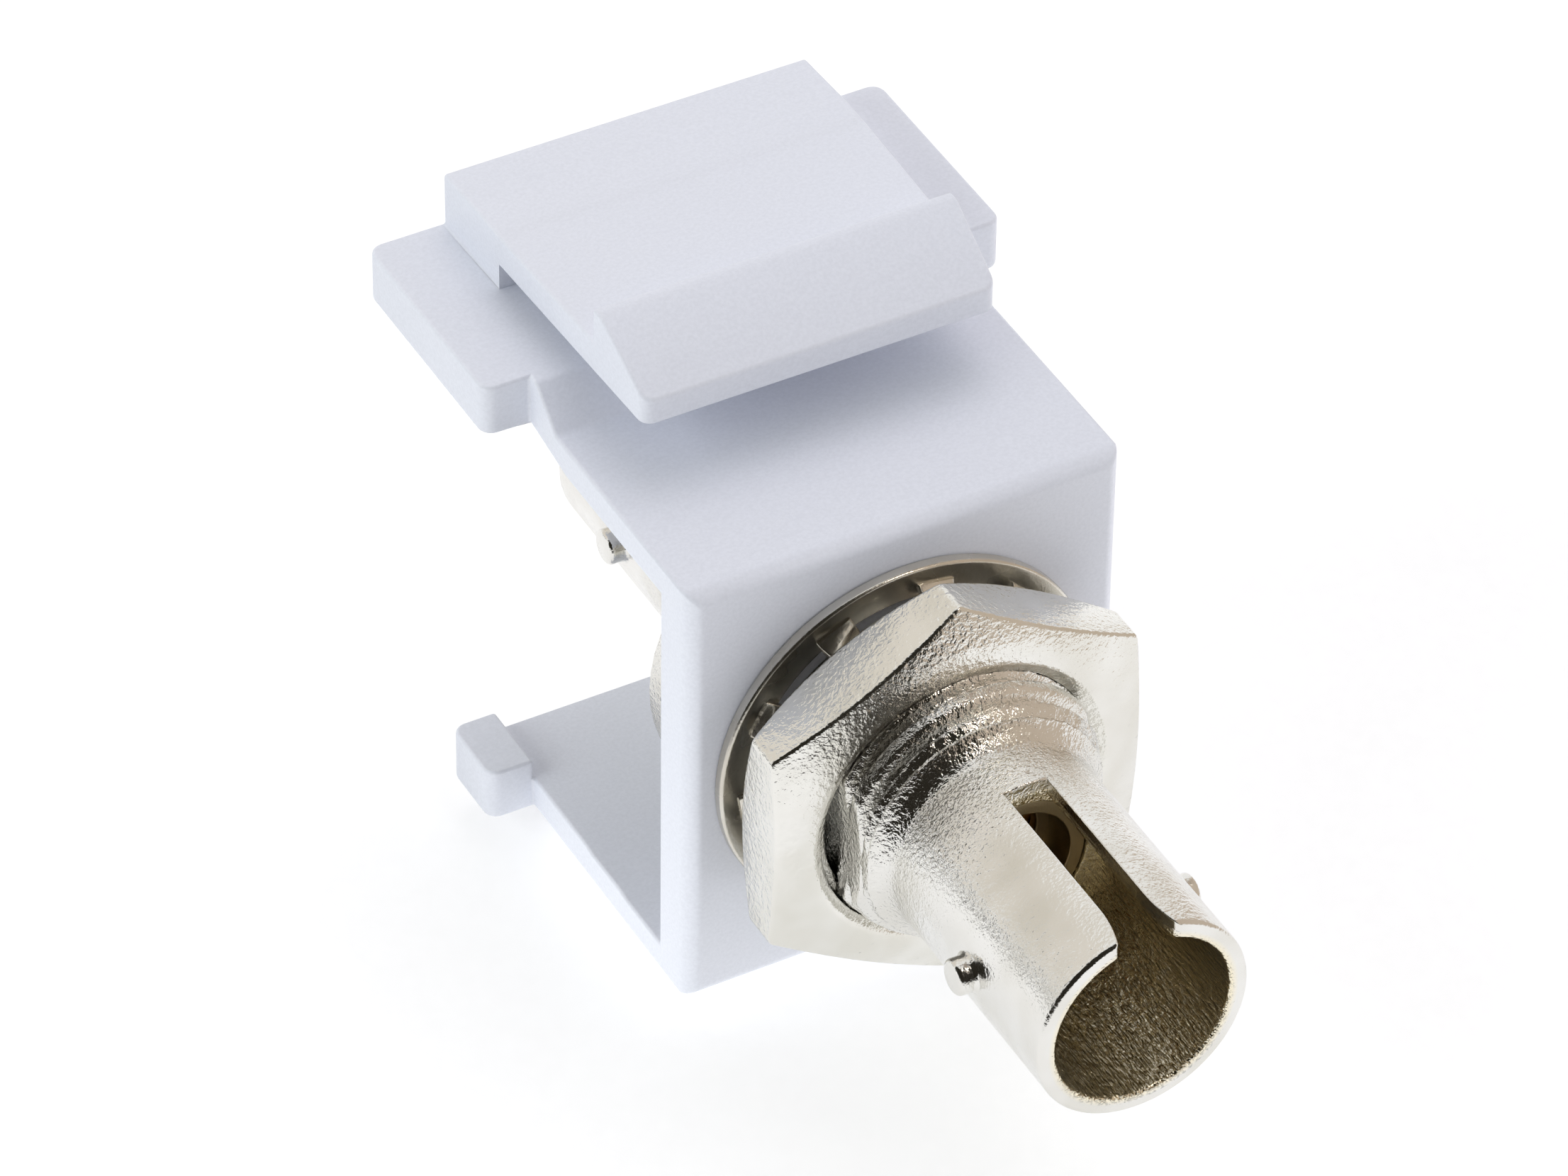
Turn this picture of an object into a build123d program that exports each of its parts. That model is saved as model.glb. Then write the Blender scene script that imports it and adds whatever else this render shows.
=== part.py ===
from build123d import *
import math
import os

os.makedirs("parts", exist_ok=True)

# A bayonet fibre coupler held by its nut and lock washer in the front wall of a moulded
# keystone insert. X is to the right seen from the front, Y runs from the front face of the
# insert to its rear, and Z is up. The origin is on the coupler's axis in that front face.

# Insert: a moulding that is a C seen from the side, with open sides
body_width = 14.5
body_height = 15.9
front_wall = 1.8
top_wall = 1.08
floor_wall = 1.14
floor_length = 12.6
insert_length = 17.7
front_edge_radius = 0.5

# Two shallow steps let the floor down towards the front wall
floor_step_drop = 0.07
floor_step_run = 0.4
floor_step_places = (6.2, 4.0)

# Wings and lugs stop behind the panel, the latch ridge and the fixed hook grip its front
panel_thickness = 1.6
panel_stop = 10.0
stop_span = 17.54
stop_corner_radius = 0.45
wing_top = 9.1
wing_thickness = 1.8
joggle_foot = 8.35
joggle_head = 9.65
underside_rise_start = 7.7
lug_height = 1.85
hook_width = 7.0
hook_depth = 1.1
hook_land = 1.0
hook_ramp = 1.5

# Latch: a root block on the wing plate and a springy arm that reaches forward from it
latch_root_width = 12.36
latch_tip_width = 11.8
latch_top = 11.1
latch_rear_top = 10.95
latch_knee = 15.3
arm_thickness = 1.13
arm_root = 14.05
arm_tip = 5.35
arm_tip_radius = 0.4
tip_face_height = 0.93
ridge_top = 12.3
ridge_land = 0.45
ridge_edge_radius = 0.12
latch_clearance = 0.04

# Coupler: two die-cast halves, mirrored about the middle of the alignment sleeve
coupler_middle = 0.75
coupler_half_length = 14.85
barrel_diameter = 6.95
port_bore_diameter = 5.76
port_depth = 7.3
rim_bevel = 0.12
neck_radius = 0.9
neck_distance = 6.5
pin_diameter = 1.15
pin_span = 8.05
pin_setback = 4.05
pin_chamfer = 0.08
keyway_width = 1.45
keyway_length = 7.0
keyway_mouth_width = 2.0
keyway_flare_length = 0.55
thread_diameter = 9.2
thread_shoulder_length = 0.25
flats_width = 7.9
flange_diameter = 11.2
flange_length = 3.6
flange_chamfer = 0.4
spigot_diameter = 8.5
spigot_length = 2.8
collar_diameter = 9.8
hole_clearance = 0.1

# Sleeve and the two tubes that hold it
sleeve_outer_diameter = 3.2
sleeve_bore_diameter = 2.5
sleeve_length = 11.4
sleeve_slit = 0.5
sleeve_play = 0.05
holder_diameter = 4.7
holder_mouth_diameter = 3.7
holder_lip_diameter = 2.9
holder_lip_length = 0.4
holder_stand_off = 0.1
press_clearance = 0.02

# Lock washer with twisted teeth inside, and the hexagon nut that clamps it
washer_diameter = 12.5
washer_band = 0.95
washer_thickness = 0.42
washer_height = 1.1
tooth_count = 10
tooth_width = 1.25
tooth_twist = 24.0
tooth_clearance = 0.12
nut_across_flats = 12.3
nut_thickness = 2.45
nut_front_chamfer_angle = 24.0
nut_rear_chamfer_angle = 30.0
nut_face_diameter = 11.8
nut_bevel = 0.25
nut_thread_clearance = 0.03

half_width = body_width / 2
half_height = body_height / 2
barrel_radius = barrel_diameter / 2
thread_radius = thread_diameter / 2


# The insert's side outline, drawn in the YZ plane and extruded across the width
wing_bottom = wing_top - wing_thickness
floor_top = floor_wall - half_height
floor_outline = [(floor_length, floor_top)]
for step_index, step_place in enumerate(floor_step_places):
    step_level = floor_top - floor_step_drop * step_index
    floor_outline.append((step_place + floor_step_run, step_level))
    floor_outline.append((step_place, step_level - floor_step_drop))
floor_front_level = floor_top - floor_step_drop * len(floor_step_places)

insert_outline = [
    (0, -half_height),
    (0, half_height),
    (joggle_foot, half_height),
    (joggle_head, wing_top),
    (insert_length, wing_top),
    (insert_length, wing_bottom),
    (panel_stop, wing_bottom),
    (underside_rise_start, half_height - top_wall),
    (front_wall, half_height - top_wall),
    (front_wall, floor_front_level),
    *reversed(floor_outline),
    (floor_length, -half_height),
]

ridge_rear = panel_stop - panel_thickness
arm_bottom = latch_top - arm_thickness
pivot_height = latch_top - arm_thickness / 2
socket_radius = arm_thickness / 2 + latch_clearance
lug_length = floor_length - panel_stop
lug_width = (stop_span - body_width) / 2
lug_corner_radius = min(stop_corner_radius, lug_width / 2)
wing_length = insert_length - panel_stop

root_outline = [
    (arm_root, wing_top),
    (arm_root, latch_top),
    (latch_knee, latch_top),
    (insert_length, latch_rear_top),
    (insert_length, wing_top),
]
hook_outline = [
    (ridge_rear, -half_height),
    (ridge_rear, -half_height - hook_depth),
    (ridge_rear - hook_land, -half_height - hook_depth),
    (ridge_rear - hook_land - hook_ramp, -half_height),
]

with BuildPart() as keystone_housing:
    with BuildSketch(Plane.YZ):
        with BuildLine():
            Polyline(*insert_outline, close=True)
        make_face()
    extrude(amount=half_width, both=True)
    front_edges = keystone_housing.faces().sort_by(Axis.Y)[0].edges()
    fillet(front_edges.filter_by(Axis.Z), front_edge_radius)
    front_edges = keystone_housing.faces().sort_by(Axis.Y)[0].edges()
    fillet(front_edges.filter_by(Axis.X), front_edge_radius)
    # Wing plate, wider than the body, with rounded upright corners
    with BuildSketch(Plane.XY.offset(wing_bottom)) as wing_plan:
        with Locations((0, panel_stop + wing_length / 2)):
            Rectangle(stop_span, wing_length)
        fillet(wing_plan.vertices(), stop_corner_radius)
    extrude(amount=wing_thickness)
    # Side lugs level with the wings' front faces
    for side in (-1, 1):
        with BuildSketch(Plane.XY.offset(-half_height)) as lug_plan:
            with Locations((side * (half_width + lug_width / 2), panel_stop + lug_length / 2)):
                Rectangle(lug_width, lug_length)
            outer_corners = lug_plan.vertices().sort_by(Axis.X, reverse=side > 0)[:2]
            fillet(outer_corners, lug_corner_radius)
        extrude(amount=lug_height)
    # Latch root, with the hollow that the arm's rounded end turns in
    with BuildSketch(Plane.YZ):
        with BuildLine():
            Polyline(*root_outline, close=True)
        make_face()
        with Locations((arm_root, pivot_height)):
            Circle(socket_radius, mode=Mode.SUBTRACT)
    extrude(amount=latch_root_width / 2, both=True)
    # Fixed hook under the floor
    with BuildSketch(Plane.YZ):
        with BuildLine():
            Polyline(*hook_outline, close=True)
        make_face()
    extrude(amount=hook_width / 2, both=True)
    # Hole with two flats that keep the coupler from turning
    with BuildSketch(Plane.XZ):
        Circle(thread_radius + hole_clearance)
        Rectangle(flats_width + 2 * hole_clearance, body_height, mode=Mode.INTERSECT)
    extrude(amount=-front_wall, mode=Mode.SUBTRACT)

# Latch arm: side outline first, then cut to its tapered plan
ridge_front = ridge_rear - ridge_land
arm_outline = [
    (arm_root, arm_bottom),
    (arm_tip, arm_bottom),
    (arm_tip, arm_bottom + tip_face_height),
    (ridge_front, ridge_top),
    (ridge_rear, ridge_top),
    (ridge_rear, latch_top),
    (arm_root, latch_top),
]
arm_end = arm_root + arm_thickness / 2

with BuildPart() as latch_arm:
    with BuildSketch(Plane.YZ):
        with BuildLine():
            Polyline(*arm_outline)
            ThreePointArc((arm_root, latch_top), (arm_end, pivot_height), (arm_root, arm_bottom))
        make_face()
    extrude(amount=latch_root_width / 2, both=True)
    with BuildSketch(Plane.XY.offset(arm_bottom)) as arm_plan:
        with BuildLine():
            Polyline(
                (-latch_root_width / 2, arm_end),
                (-latch_tip_width / 2, arm_tip),
                (latch_tip_width / 2, arm_tip),
                (latch_root_width / 2, arm_end),
                close=True,
            )
        make_face()
        fillet(arm_plan.vertices().sort_by(Axis.Y)[:2], arm_tip_radius)
    extrude(amount=ridge_top - arm_bottom, mode=Mode.INTERSECT)
    ridge_edges = latch_arm.edges().filter_by(Axis.X).sort_by(Axis.Z)[-2:]
    fillet(ridge_edges, ridge_edge_radius)

# Places along the coupler's axis, measured from its middle and mirrored for the rear half
port_end = coupler_half_length
port_floor = port_end - port_depth
pin_place = port_end - pin_setback
keyway_end = port_end - keyway_length
neck_end = neck_distance - neck_radius
flange_front = front_wall
flange_rear = flange_front + flange_length
spigot_end = flange_rear - spigot_length


def front_place(distance):
    """Y of a place that lies this far in front of the coupler's middle."""
    return coupler_middle - distance


def rear_place(distance):
    """Y of a place that lies this far behind the coupler's middle."""
    return coupler_middle + distance


def keyway_outline(place, outward):
    """Plan of a keyway, from its square inner end to its flared mouth."""
    mouth = place(port_end) + outward * rim_bevel
    flare = place(port_end - keyway_flare_length)
    return [
        (-keyway_width / 2, place(keyway_end)),
        (keyway_width / 2, place(keyway_end)),
        (keyway_width / 2, flare),
        (keyway_mouth_width / 2, mouth),
        (-keyway_mouth_width / 2, mouth),
        (-keyway_width / 2, flare),
    ]


def add_port_details(body, place, outward):
    """Add the bayonet pins to one coupler half, and cut the keyway along the top of its port."""
    pin_foot = barrel_radius - rim_bevel
    for side in (-1, 1):
        with BuildSketch(Plane.YZ.offset(side * pin_foot)) as pin_section:
            with Locations((place(pin_place), 0)):
                Circle(pin_diameter / 2)
        extrude(pin_section.sketch, amount=side * (pin_span / 2 - pin_foot))
    pin_ends = body.faces().filter_by(GeomType.PLANE).sort_by(Axis.X)
    chamfer(pin_ends[0].edges() + pin_ends[-1].edges(), pin_chamfer)
    keyway_base = port_bore_diameter / 2 * math.sin(math.pi / 4)
    with BuildSketch(Plane.XY.offset(keyway_base)) as keyway_plan:
        with BuildLine():
            Polyline(*keyway_outline(place, outward), close=True)
        make_face()
    extrude(keyway_plan.sketch, amount=barrel_radius, mode=Mode.SUBTRACT)


neck_centre = barrel_radius + neck_radius
neck_middle = neck_centre - neck_radius * math.sin(math.pi / 4)
neck_shift = neck_radius * (1 - math.sin(math.pi / 4))
thread_end = front_place(neck_end - thread_shoulder_length)
front_outline = [
    (neck_centre, front_place(neck_end)),
    (thread_radius, thread_end),
    (thread_radius, flange_front),
    (flange_diameter / 2, flange_front),
    (flange_diameter / 2, flange_rear - flange_chamfer),
    (flange_diameter / 2 - flange_chamfer, flange_rear),
    (spigot_diameter / 2, flange_rear),
    (spigot_diameter / 2, spigot_end),
    (holder_diameter / 2, spigot_end),
    (holder_diameter / 2, front_place(port_floor)),
    (port_bore_diameter / 2, front_place(port_floor)),
    (port_bore_diameter / 2, front_place(port_end)),
    (barrel_radius, front_place(port_end)),
    (barrel_radius, front_place(neck_distance)),
]

with BuildPart() as adapter_front_body:
    with BuildSketch(Plane.XY):
        with BuildLine():
            Polyline(*front_outline)
            ThreePointArc(
                (barrel_radius, front_place(neck_distance)),
                (neck_middle, front_place(neck_end + neck_shift)),
                (neck_centre, front_place(neck_end)),
            )
        make_face()
    revolve(axis=Axis.Y)
    chamfer(adapter_front_body.faces().sort_by(Axis.Y)[0].edges(), rim_bevel)
    # Flats on both sides of the thread
    flat_depth = thread_radius - flats_width / 2
    for side in (-1, 1):
        with BuildSketch(Plane.XZ.offset(-flange_front)):
            with Locations((side * (flats_width / 2 + flat_depth / 2), 0)):
                Rectangle(flat_depth, thread_diameter)
        extrude(amount=flange_front - front_place(neck_distance), mode=Mode.SUBTRACT)
    add_port_details(adapter_front_body, front_place, -1)

rear_outline = [
    (neck_centre, rear_place(neck_end)),
    (collar_diameter / 2, rear_place(neck_end)),
    (collar_diameter / 2, flange_rear),
    (spigot_diameter / 2 - press_clearance, flange_rear),
    (spigot_diameter / 2 - press_clearance, spigot_end),
    (holder_diameter / 2, spigot_end),
    (holder_diameter / 2, rear_place(port_floor)),
    (port_bore_diameter / 2, rear_place(port_floor)),
    (port_bore_diameter / 2, rear_place(port_end)),
    (barrel_radius, rear_place(port_end)),
    (barrel_radius, rear_place(neck_distance)),
]

with BuildPart() as adapter_rear_body:
    with BuildSketch(Plane.XY):
        with BuildLine():
            Polyline(*rear_outline)
            ThreePointArc(
                (barrel_radius, rear_place(neck_distance)),
                (neck_middle, rear_place(neck_end + neck_shift)),
                (neck_centre, rear_place(neck_end)),
            )
        make_face()
    revolve(axis=Axis.Y)
    chamfer(adapter_rear_body.faces().sort_by(Axis.Y)[-1].edges(), rim_bevel)
    add_port_details(adapter_rear_body, rear_place, 1)


def holder_outline(place):
    """Half section of a sleeve holder: mouth, retaining lip and sleeve chamber."""
    outer = holder_diameter / 2 - press_clearance
    chamber = sleeve_outer_diameter / 2 + sleeve_play
    chamber_end = place(sleeve_length / 2 + sleeve_play)
    lip_end = place(sleeve_length / 2 + sleeve_play + holder_lip_length)
    face = place(port_floor + holder_stand_off)
    return [
        (outer, coupler_middle),
        (outer, face),
        (holder_mouth_diameter / 2, face),
        (holder_mouth_diameter / 2, lip_end),
        (holder_lip_diameter / 2, lip_end),
        (holder_lip_diameter / 2, chamber_end),
        (chamber, chamber_end),
        (chamber, coupler_middle),
    ]


with BuildPart() as sleeve_holder_front:
    with BuildSketch(Plane.XY):
        with BuildLine():
            Polyline(*holder_outline(front_place), close=True)
        make_face()
    revolve(axis=Axis.Y)

with BuildPart() as sleeve_holder_rear:
    with BuildSketch(Plane.XY):
        with BuildLine():
            Polyline(*holder_outline(rear_place), close=True)
        make_face()
    revolve(axis=Axis.Y)

# Split sleeve that lines up the two ferrules
with BuildPart() as split_sleeve:
    with BuildSketch(Plane.XZ.offset(-coupler_middle)):
        Circle(sleeve_outer_diameter / 2)
        Circle(sleeve_bore_diameter / 2, mode=Mode.SUBTRACT)
        with Locations((0, sleeve_outer_diameter / 2)):
            Rectangle(sleeve_slit, sleeve_outer_diameter, mode=Mode.SUBTRACT)
    extrude(amount=sleeve_length / 2, both=True)

# Washer: a dished band pressed flat at its rim, with teeth twisted out of its plane
band_inner = washer_diameter / 2 - washer_band
tooth_tip = thread_radius + tooth_clearance
tooth_length = band_inner - tooth_tip
tooth_middle = band_inner - tooth_length / 2
band_rise = (washer_height - washer_thickness) / 2
tooth_plane = -(washer_thickness / 2 + band_rise)

with BuildPart() as lock_washer:
    with BuildSketch(Plane.XY):
        with BuildLine():
            Polyline(
                (washer_diameter / 2, 0),
                (washer_diameter / 2, -washer_thickness),
                (band_inner, -washer_thickness - band_rise),
                (band_inner, -band_rise),
                close=True,
            )
        make_face()
    revolve(axis=Axis.Y)
    for tooth_index in range(tooth_count):
        tooth_angle = 360 / tooth_count * (tooth_index + 0.5)
        radial = Vector(1, 0, 0).rotate(Axis.Y, tooth_angle)
        across = Vector(0, 0, 1).rotate(Axis.Y, tooth_angle)
        tooth_centre = radial * tooth_middle + Vector(0, tooth_plane, 0)
        flat_tooth = Plane(tooth_centre, x_dir=across, z_dir=radial)
        with BuildSketch(flat_tooth.offset(-tooth_length / 2)):
            Rectangle(tooth_width, washer_thickness, rotation=tooth_twist)
        extrude(amount=tooth_length + washer_thickness)

# Nut: a hexagon with corners up and down, its corners turned off on both faces
nut_rear_face = -washer_height
nut_front_face = nut_rear_face - nut_thickness
nut_corner = nut_across_flats / math.sqrt(3)
corner_run = nut_corner - nut_face_diameter / 2
front_drop = corner_run * math.tan(math.radians(nut_front_chamfer_angle))
rear_drop = corner_run * math.tan(math.radians(nut_rear_chamfer_angle))
nut_bore = thread_radius + nut_thread_clearance

with BuildPart() as hex_nut:
    with BuildSketch(Plane.XZ.offset(-nut_rear_face)):
        RegularPolygon(nut_corner, 6, rotation=30)
    extrude(amount=nut_thickness)
    with BuildSketch(Plane.XY):
        with BuildLine():
            Polyline(
                (nut_bore + nut_bevel, nut_front_face),
                (nut_face_diameter / 2, nut_front_face),
                (nut_corner, nut_front_face + front_drop),
                (nut_corner, nut_rear_face - rear_drop),
                (nut_face_diameter / 2, nut_rear_face),
                (nut_bore + nut_bevel, nut_rear_face),
                (nut_bore, nut_rear_face - nut_bevel),
                (nut_bore, nut_front_face + nut_bevel),
                close=True,
            )
        make_face()
    revolve(axis=Axis.Y, mode=Mode.INTERSECT)

pieces = {
    "keystone_housing": keystone_housing,
    "latch_arm": latch_arm,
    "adapter_front_body": adapter_front_body,
    "adapter_rear_body": adapter_rear_body,
    "sleeve_holder_front": sleeve_holder_front,
    "sleeve_holder_rear": sleeve_holder_rear,
    "split_sleeve": split_sleeve,
    "lock_washer": lock_washer,
    "hex_nut": hex_nut,
}
for piece_name, piece in pieces.items():
    piece.part.label = piece_name
    export_step(piece.part, f"parts/{piece_name}.step")
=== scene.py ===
# %% [markdown]
# # A fibre optic coupler in a keystone insert
#
# This lesson dresses a small piece of network hardware. The object is 32 mm long: a white
# moulded insert with a springy latch, and a nickel-plated bayonet coupler that a nut and a
# lock washer clamp in its front wall. The measured model comes first, as a frame that nothing
# here moves. Each piece is then drawn again around that frame with the detail that a camera
# sees at this size: rolled edges, a cast thread, the skin of the plating.

# %% Load the measured model
import contextlib
import math

import bmesh
import bpy
import numpy as np
from mathutils import Matrix, Vector


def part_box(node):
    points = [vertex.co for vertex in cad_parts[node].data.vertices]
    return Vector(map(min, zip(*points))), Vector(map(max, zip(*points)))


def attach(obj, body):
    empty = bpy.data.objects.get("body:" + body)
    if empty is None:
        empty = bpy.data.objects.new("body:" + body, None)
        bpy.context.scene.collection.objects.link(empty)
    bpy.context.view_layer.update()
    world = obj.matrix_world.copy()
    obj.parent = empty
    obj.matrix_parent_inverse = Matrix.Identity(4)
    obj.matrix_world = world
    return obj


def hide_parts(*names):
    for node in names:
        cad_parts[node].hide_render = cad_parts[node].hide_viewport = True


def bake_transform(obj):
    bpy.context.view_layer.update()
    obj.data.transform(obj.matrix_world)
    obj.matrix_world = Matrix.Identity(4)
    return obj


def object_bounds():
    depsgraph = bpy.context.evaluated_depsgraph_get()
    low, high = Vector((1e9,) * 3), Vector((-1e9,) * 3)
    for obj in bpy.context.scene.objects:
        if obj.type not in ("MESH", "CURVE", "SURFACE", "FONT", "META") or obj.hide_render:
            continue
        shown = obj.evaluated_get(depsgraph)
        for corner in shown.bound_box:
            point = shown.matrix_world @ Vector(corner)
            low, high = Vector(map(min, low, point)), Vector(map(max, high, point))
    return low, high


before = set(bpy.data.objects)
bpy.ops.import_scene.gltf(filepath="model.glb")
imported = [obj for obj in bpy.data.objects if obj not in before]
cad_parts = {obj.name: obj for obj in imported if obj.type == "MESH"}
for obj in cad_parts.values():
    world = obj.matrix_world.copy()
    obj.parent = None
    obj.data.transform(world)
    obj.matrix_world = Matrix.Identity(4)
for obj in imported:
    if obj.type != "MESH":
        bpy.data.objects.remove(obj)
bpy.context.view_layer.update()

# %% [markdown]
# ## One frame, one unit
#
# The model's origin is on the coupler's axis, in the front face of the insert. X is to the
# right seen from the front, Y runs to the rear and Z is up. Sizes are written in millimetres,
# as on a drawing, and one factor turns them to metres when a mesh is made.

# %% Unit
MM = 0.001


def node_box(node):
    """Lowest and highest corner of a measured piece, in millimetres."""
    low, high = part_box(node)
    return np.array(low) / MM, np.array(high) / MM


front_rim = node_box("adapter_front_body")[0][1]
rear_rim = node_box("adapter_rear_body")[1][1]
print("coupler, mm: from", front_rim.round(2), "to", rear_rim.round(2))

# %% [markdown]
# ## Camera
#
# The photograph was taken with a long lens, so the lines stay almost parallel. Its direction,
# distance and focal length were worked out from the straight edges of the insert. A constraint
# could aim a camera at the object, but it gives no roll. So the camera's three axes are written
# from azimuth and elevation, and then turned by a small roll.

# %% Camera
IMAGE_WIDTH = 2212
FOCAL_PIXELS = 12336.1
CAMERA_AZIMUTH = math.radians(-29.099)
CAMERA_ELEVATION = math.radians(40.594)
CAMERA_ROLL = math.radians(0.851)
CAMERA_PLACE = Vector((-97.669, -168.046, 172.014)) * MM


def camera_axes(azimuth, elevation, roll):
    """Right, up and back of the camera as directions in the scene.

    Back is (sin a cos e, -cos a cos e, sin e), right is (cos a, sin a, 0), up is their cross
    product, and roll turns right and up about back.
    """
    back = Vector((
        math.sin(azimuth) * math.cos(elevation),
        -math.cos(azimuth) * math.cos(elevation),
        math.sin(elevation),
    ))
    level = Vector((math.cos(azimuth), math.sin(azimuth), 0))
    upright = back.cross(level)
    right = level * math.cos(roll) + upright * math.sin(roll)
    up = upright * math.cos(roll) - level * math.sin(roll)
    return right, up, back


def scene_object(name, data):
    """An object for a camera, mesh or lamp, linked to the scene."""
    thing = bpy.data.objects.new(name, data)
    bpy.context.scene.collection.objects.link(thing)
    return thing


camera_data = bpy.data.cameras.new("photo_camera")
camera = scene_object("photo_camera", camera_data)
view_right, view_up, view_back = camera_axes(CAMERA_AZIMUTH, CAMERA_ELEVATION, CAMERA_ROLL)
camera.matrix_world = Matrix.Translation(CAMERA_PLACE) @ Matrix(
    (view_right, view_up, view_back)
).transposed().to_4x4()
camera_data.lens = FOCAL_PIXELS / IMAGE_WIDTH * camera_data.sensor_width
camera_data.clip_start = 0.01
camera_data.clip_end = 10
bpy.context.scene.camera = camera
print("lens, mm:", round(camera_data.lens, 1))

# %% [markdown]
# ## From arrays to meshes
#
# Every metal piece is a grid: rows follow an outline, columns go round the axis, and numpy
# works out all the points at once. A grid that closes both ways has one quad for each point,
# so its faces need no bookkeeping.

# %% Grids
def grid_quads(rows, columns):
    """Corner numbers of each quad of a grid that closes on itself both ways."""
    row, column = np.meshgrid(np.arange(rows), np.arange(columns), indexing="ij")
    next_row = (row + 1) % rows
    next_column = (column + 1) % columns
    corners = (
        row * columns + column,
        row * columns + next_column,
        next_row * columns + next_column,
        next_row * columns + column,
    )
    return np.stack(corners, axis=-1)


print("corners of a grid's first quad:", grid_quads(3, 4)[0, 0])

# %% Meshes
WELD = 0.0005
SHARP_ANGLE = math.radians(38)


@contextlib.contextmanager
def edited(mesh):
    """Open a mesh for editing, and write what was done to it back at the end."""
    edit = bmesh.new()
    edit.from_mesh(mesh)
    yield edit
    edit.to_mesh(mesh)
    edit.free()


def weld(mesh):
    """Merge points that meet, drop what has no area or no face, and point faces outwards."""
    with edited(mesh) as edit:
        bmesh.ops.remove_doubles(edit, verts=edit.verts, dist=WELD * MM)
        bmesh.ops.dissolve_degenerate(edit, edges=edit.edges, dist=WELD * MM)
        loose = [vertex for vertex in edit.verts if not vertex.link_faces]
        bmesh.ops.delete(edit, geom=loose, context="VERTS")
        bmesh.ops.recalc_face_normals(edit, faces=edit.faces)


def plain_piece(name, points, faces):
    """Put points in millimetres and their faces into a new object, shaded flat."""
    mesh = bpy.data.meshes.new(name)
    mesh.from_pydata(points * MM, [], faces)
    weld(mesh)
    return scene_object(name, mesh)


def add_piece(name, points, faces):
    """Make a piece from points and faces and shade it smooth between its sharp edges."""
    piece = plain_piece(name, points, faces)
    piece.data.shade_smooth()
    piece.data.set_sharp_from_angle(angle=SHARP_ANGLE)
    print(name, "faces:", len(piece.data.polygons))
    return piece

# %% [markdown]
# No edge of the real pieces is perfectly sharp, and a rounded edge catches the light. Edges that
# a tool or a die has softened are marked by the two points at their ends, and a Bevel modifier
# rounds just those. It could round all edges that turn sharply, but then it would also round
# small steps of a grid that has its own arcs.

# %% Softened edges
EDGE_ANGLE = math.radians(30)


def mark_edges(piece, chosen):
    """Give full bevel weight to the edges for which chosen(start, end) in mm is true."""
    mesh = piece.data
    places = np.empty(len(mesh.vertices) * 3)
    mesh.vertices.foreach_get("co", places)
    places = places.reshape(-1, 3) / MM
    ends = np.empty(len(mesh.edges) * 2, int)
    mesh.edges.foreach_get("vertices", ends)
    ends = ends.reshape(-1, 2)
    weights = chosen(places[ends[:, 0]], places[ends[:, 1]]).astype(float)
    layer = mesh.attributes.new("bevel_weight_edge", "FLOAT", "EDGE")
    layer.data.foreach_set("value", weights)
    return int(weights.sum())


def soften(piece, width, segments, limit="WEIGHT"):
    """A Bevel modifier that rounds marked edges, or with ANGLE all that turn sharply."""
    bevel = piece.modifiers.new("softened_edges", "BEVEL")
    bevel.width = width * MM
    bevel.segments = segments
    bevel.limit_method = limit
    bevel.angle_limit = EDGE_ANGLE
    bevel.use_clamp_overlap = False
    bevel.harden_normals = True


print("an edge turns by more than, degrees:", round(math.degrees(EDGE_ANGLE)))

# %% [markdown]
# ## The moulded insert
#
# The insert is one injection moulding in white ABS. Seen from the side it is a C: front wall,
# top wall that steps up to a plate for the latch, and a floor. It could be modelled with loops
# and extrudes, but each of its forms is straight along one axis, so it is quicker and truer to
# make each form as a prism from its outline and to join the prisms with exact booleans. The
# four outer edges of the front face have a 0.5 mm radius. All other edges get the small radius
# that a polished mould leaves.

# %% Prisms
AXES = {"x": (2, 0, 1), "y": (0, 2, 1), "z": (0, 1, 2)}


def prism(outline, axis, low, high):
    """A closed outline carried straight along an axis, from one level to another.

    The outline's two numbers are (y, z) for x, (x, z) for y and (x, y) for z.
    """
    outline = np.asarray(outline, float)
    count = len(outline)
    levels = np.repeat((low, high), count)[:, None]
    points = np.hstack((np.tile(outline, (2, 1)), levels))[:, AXES[axis]]
    near = np.arange(count)
    far = near + count
    ahead = np.roll(near, -1)
    sides = np.stack((near, ahead, ahead + count, far), axis=-1).tolist()
    return points, [near.tolist(), far[::-1].tolist(), *sides]


unit_square = [(0, 0), (1, 0), (1, 1), (0, 1)]
print("points of a cube as a prism:", len(prism(unit_square, "x", 0, 1)[0]))

# %% Booleans
FLAT_ANGLE = math.radians(0.5)


def final_mesh(piece):
    """Replace a piece's mesh by the one that its modifiers give, and drop the modifiers."""
    bpy.context.view_layer.update()
    depsgraph = bpy.context.evaluated_depsgraph_get()
    finished = bpy.data.meshes.new_from_object(piece.evaluated_get(depsgraph))
    piece.modifiers.clear()
    piece.data = finished


def join(piece, operation, *solids):
    """Add, cut or keep (UNION, DIFFERENCE, INTERSECT) prisms on a piece, one by one."""
    for solid in solids:
        tool = plain_piece("tool", *solid)
        boolean = piece.modifiers.new("form", "BOOLEAN")
        boolean.operation = operation
        boolean.solver = "EXACT"
        boolean.object = tool
        final_mesh(piece)
        bpy.data.objects.remove(tool)


def clean_faces(piece):
    """Join faces that lie in one plane, so that the bevel meets only real edges."""
    with edited(piece.data) as edit:
        bmesh.ops.remove_doubles(edit, verts=edit.verts, dist=WELD * MM)
        bmesh.ops.dissolve_limit(
            edit, angle_limit=FLAT_ANGLE, verts=edit.verts, edges=edit.edges
        )

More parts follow.
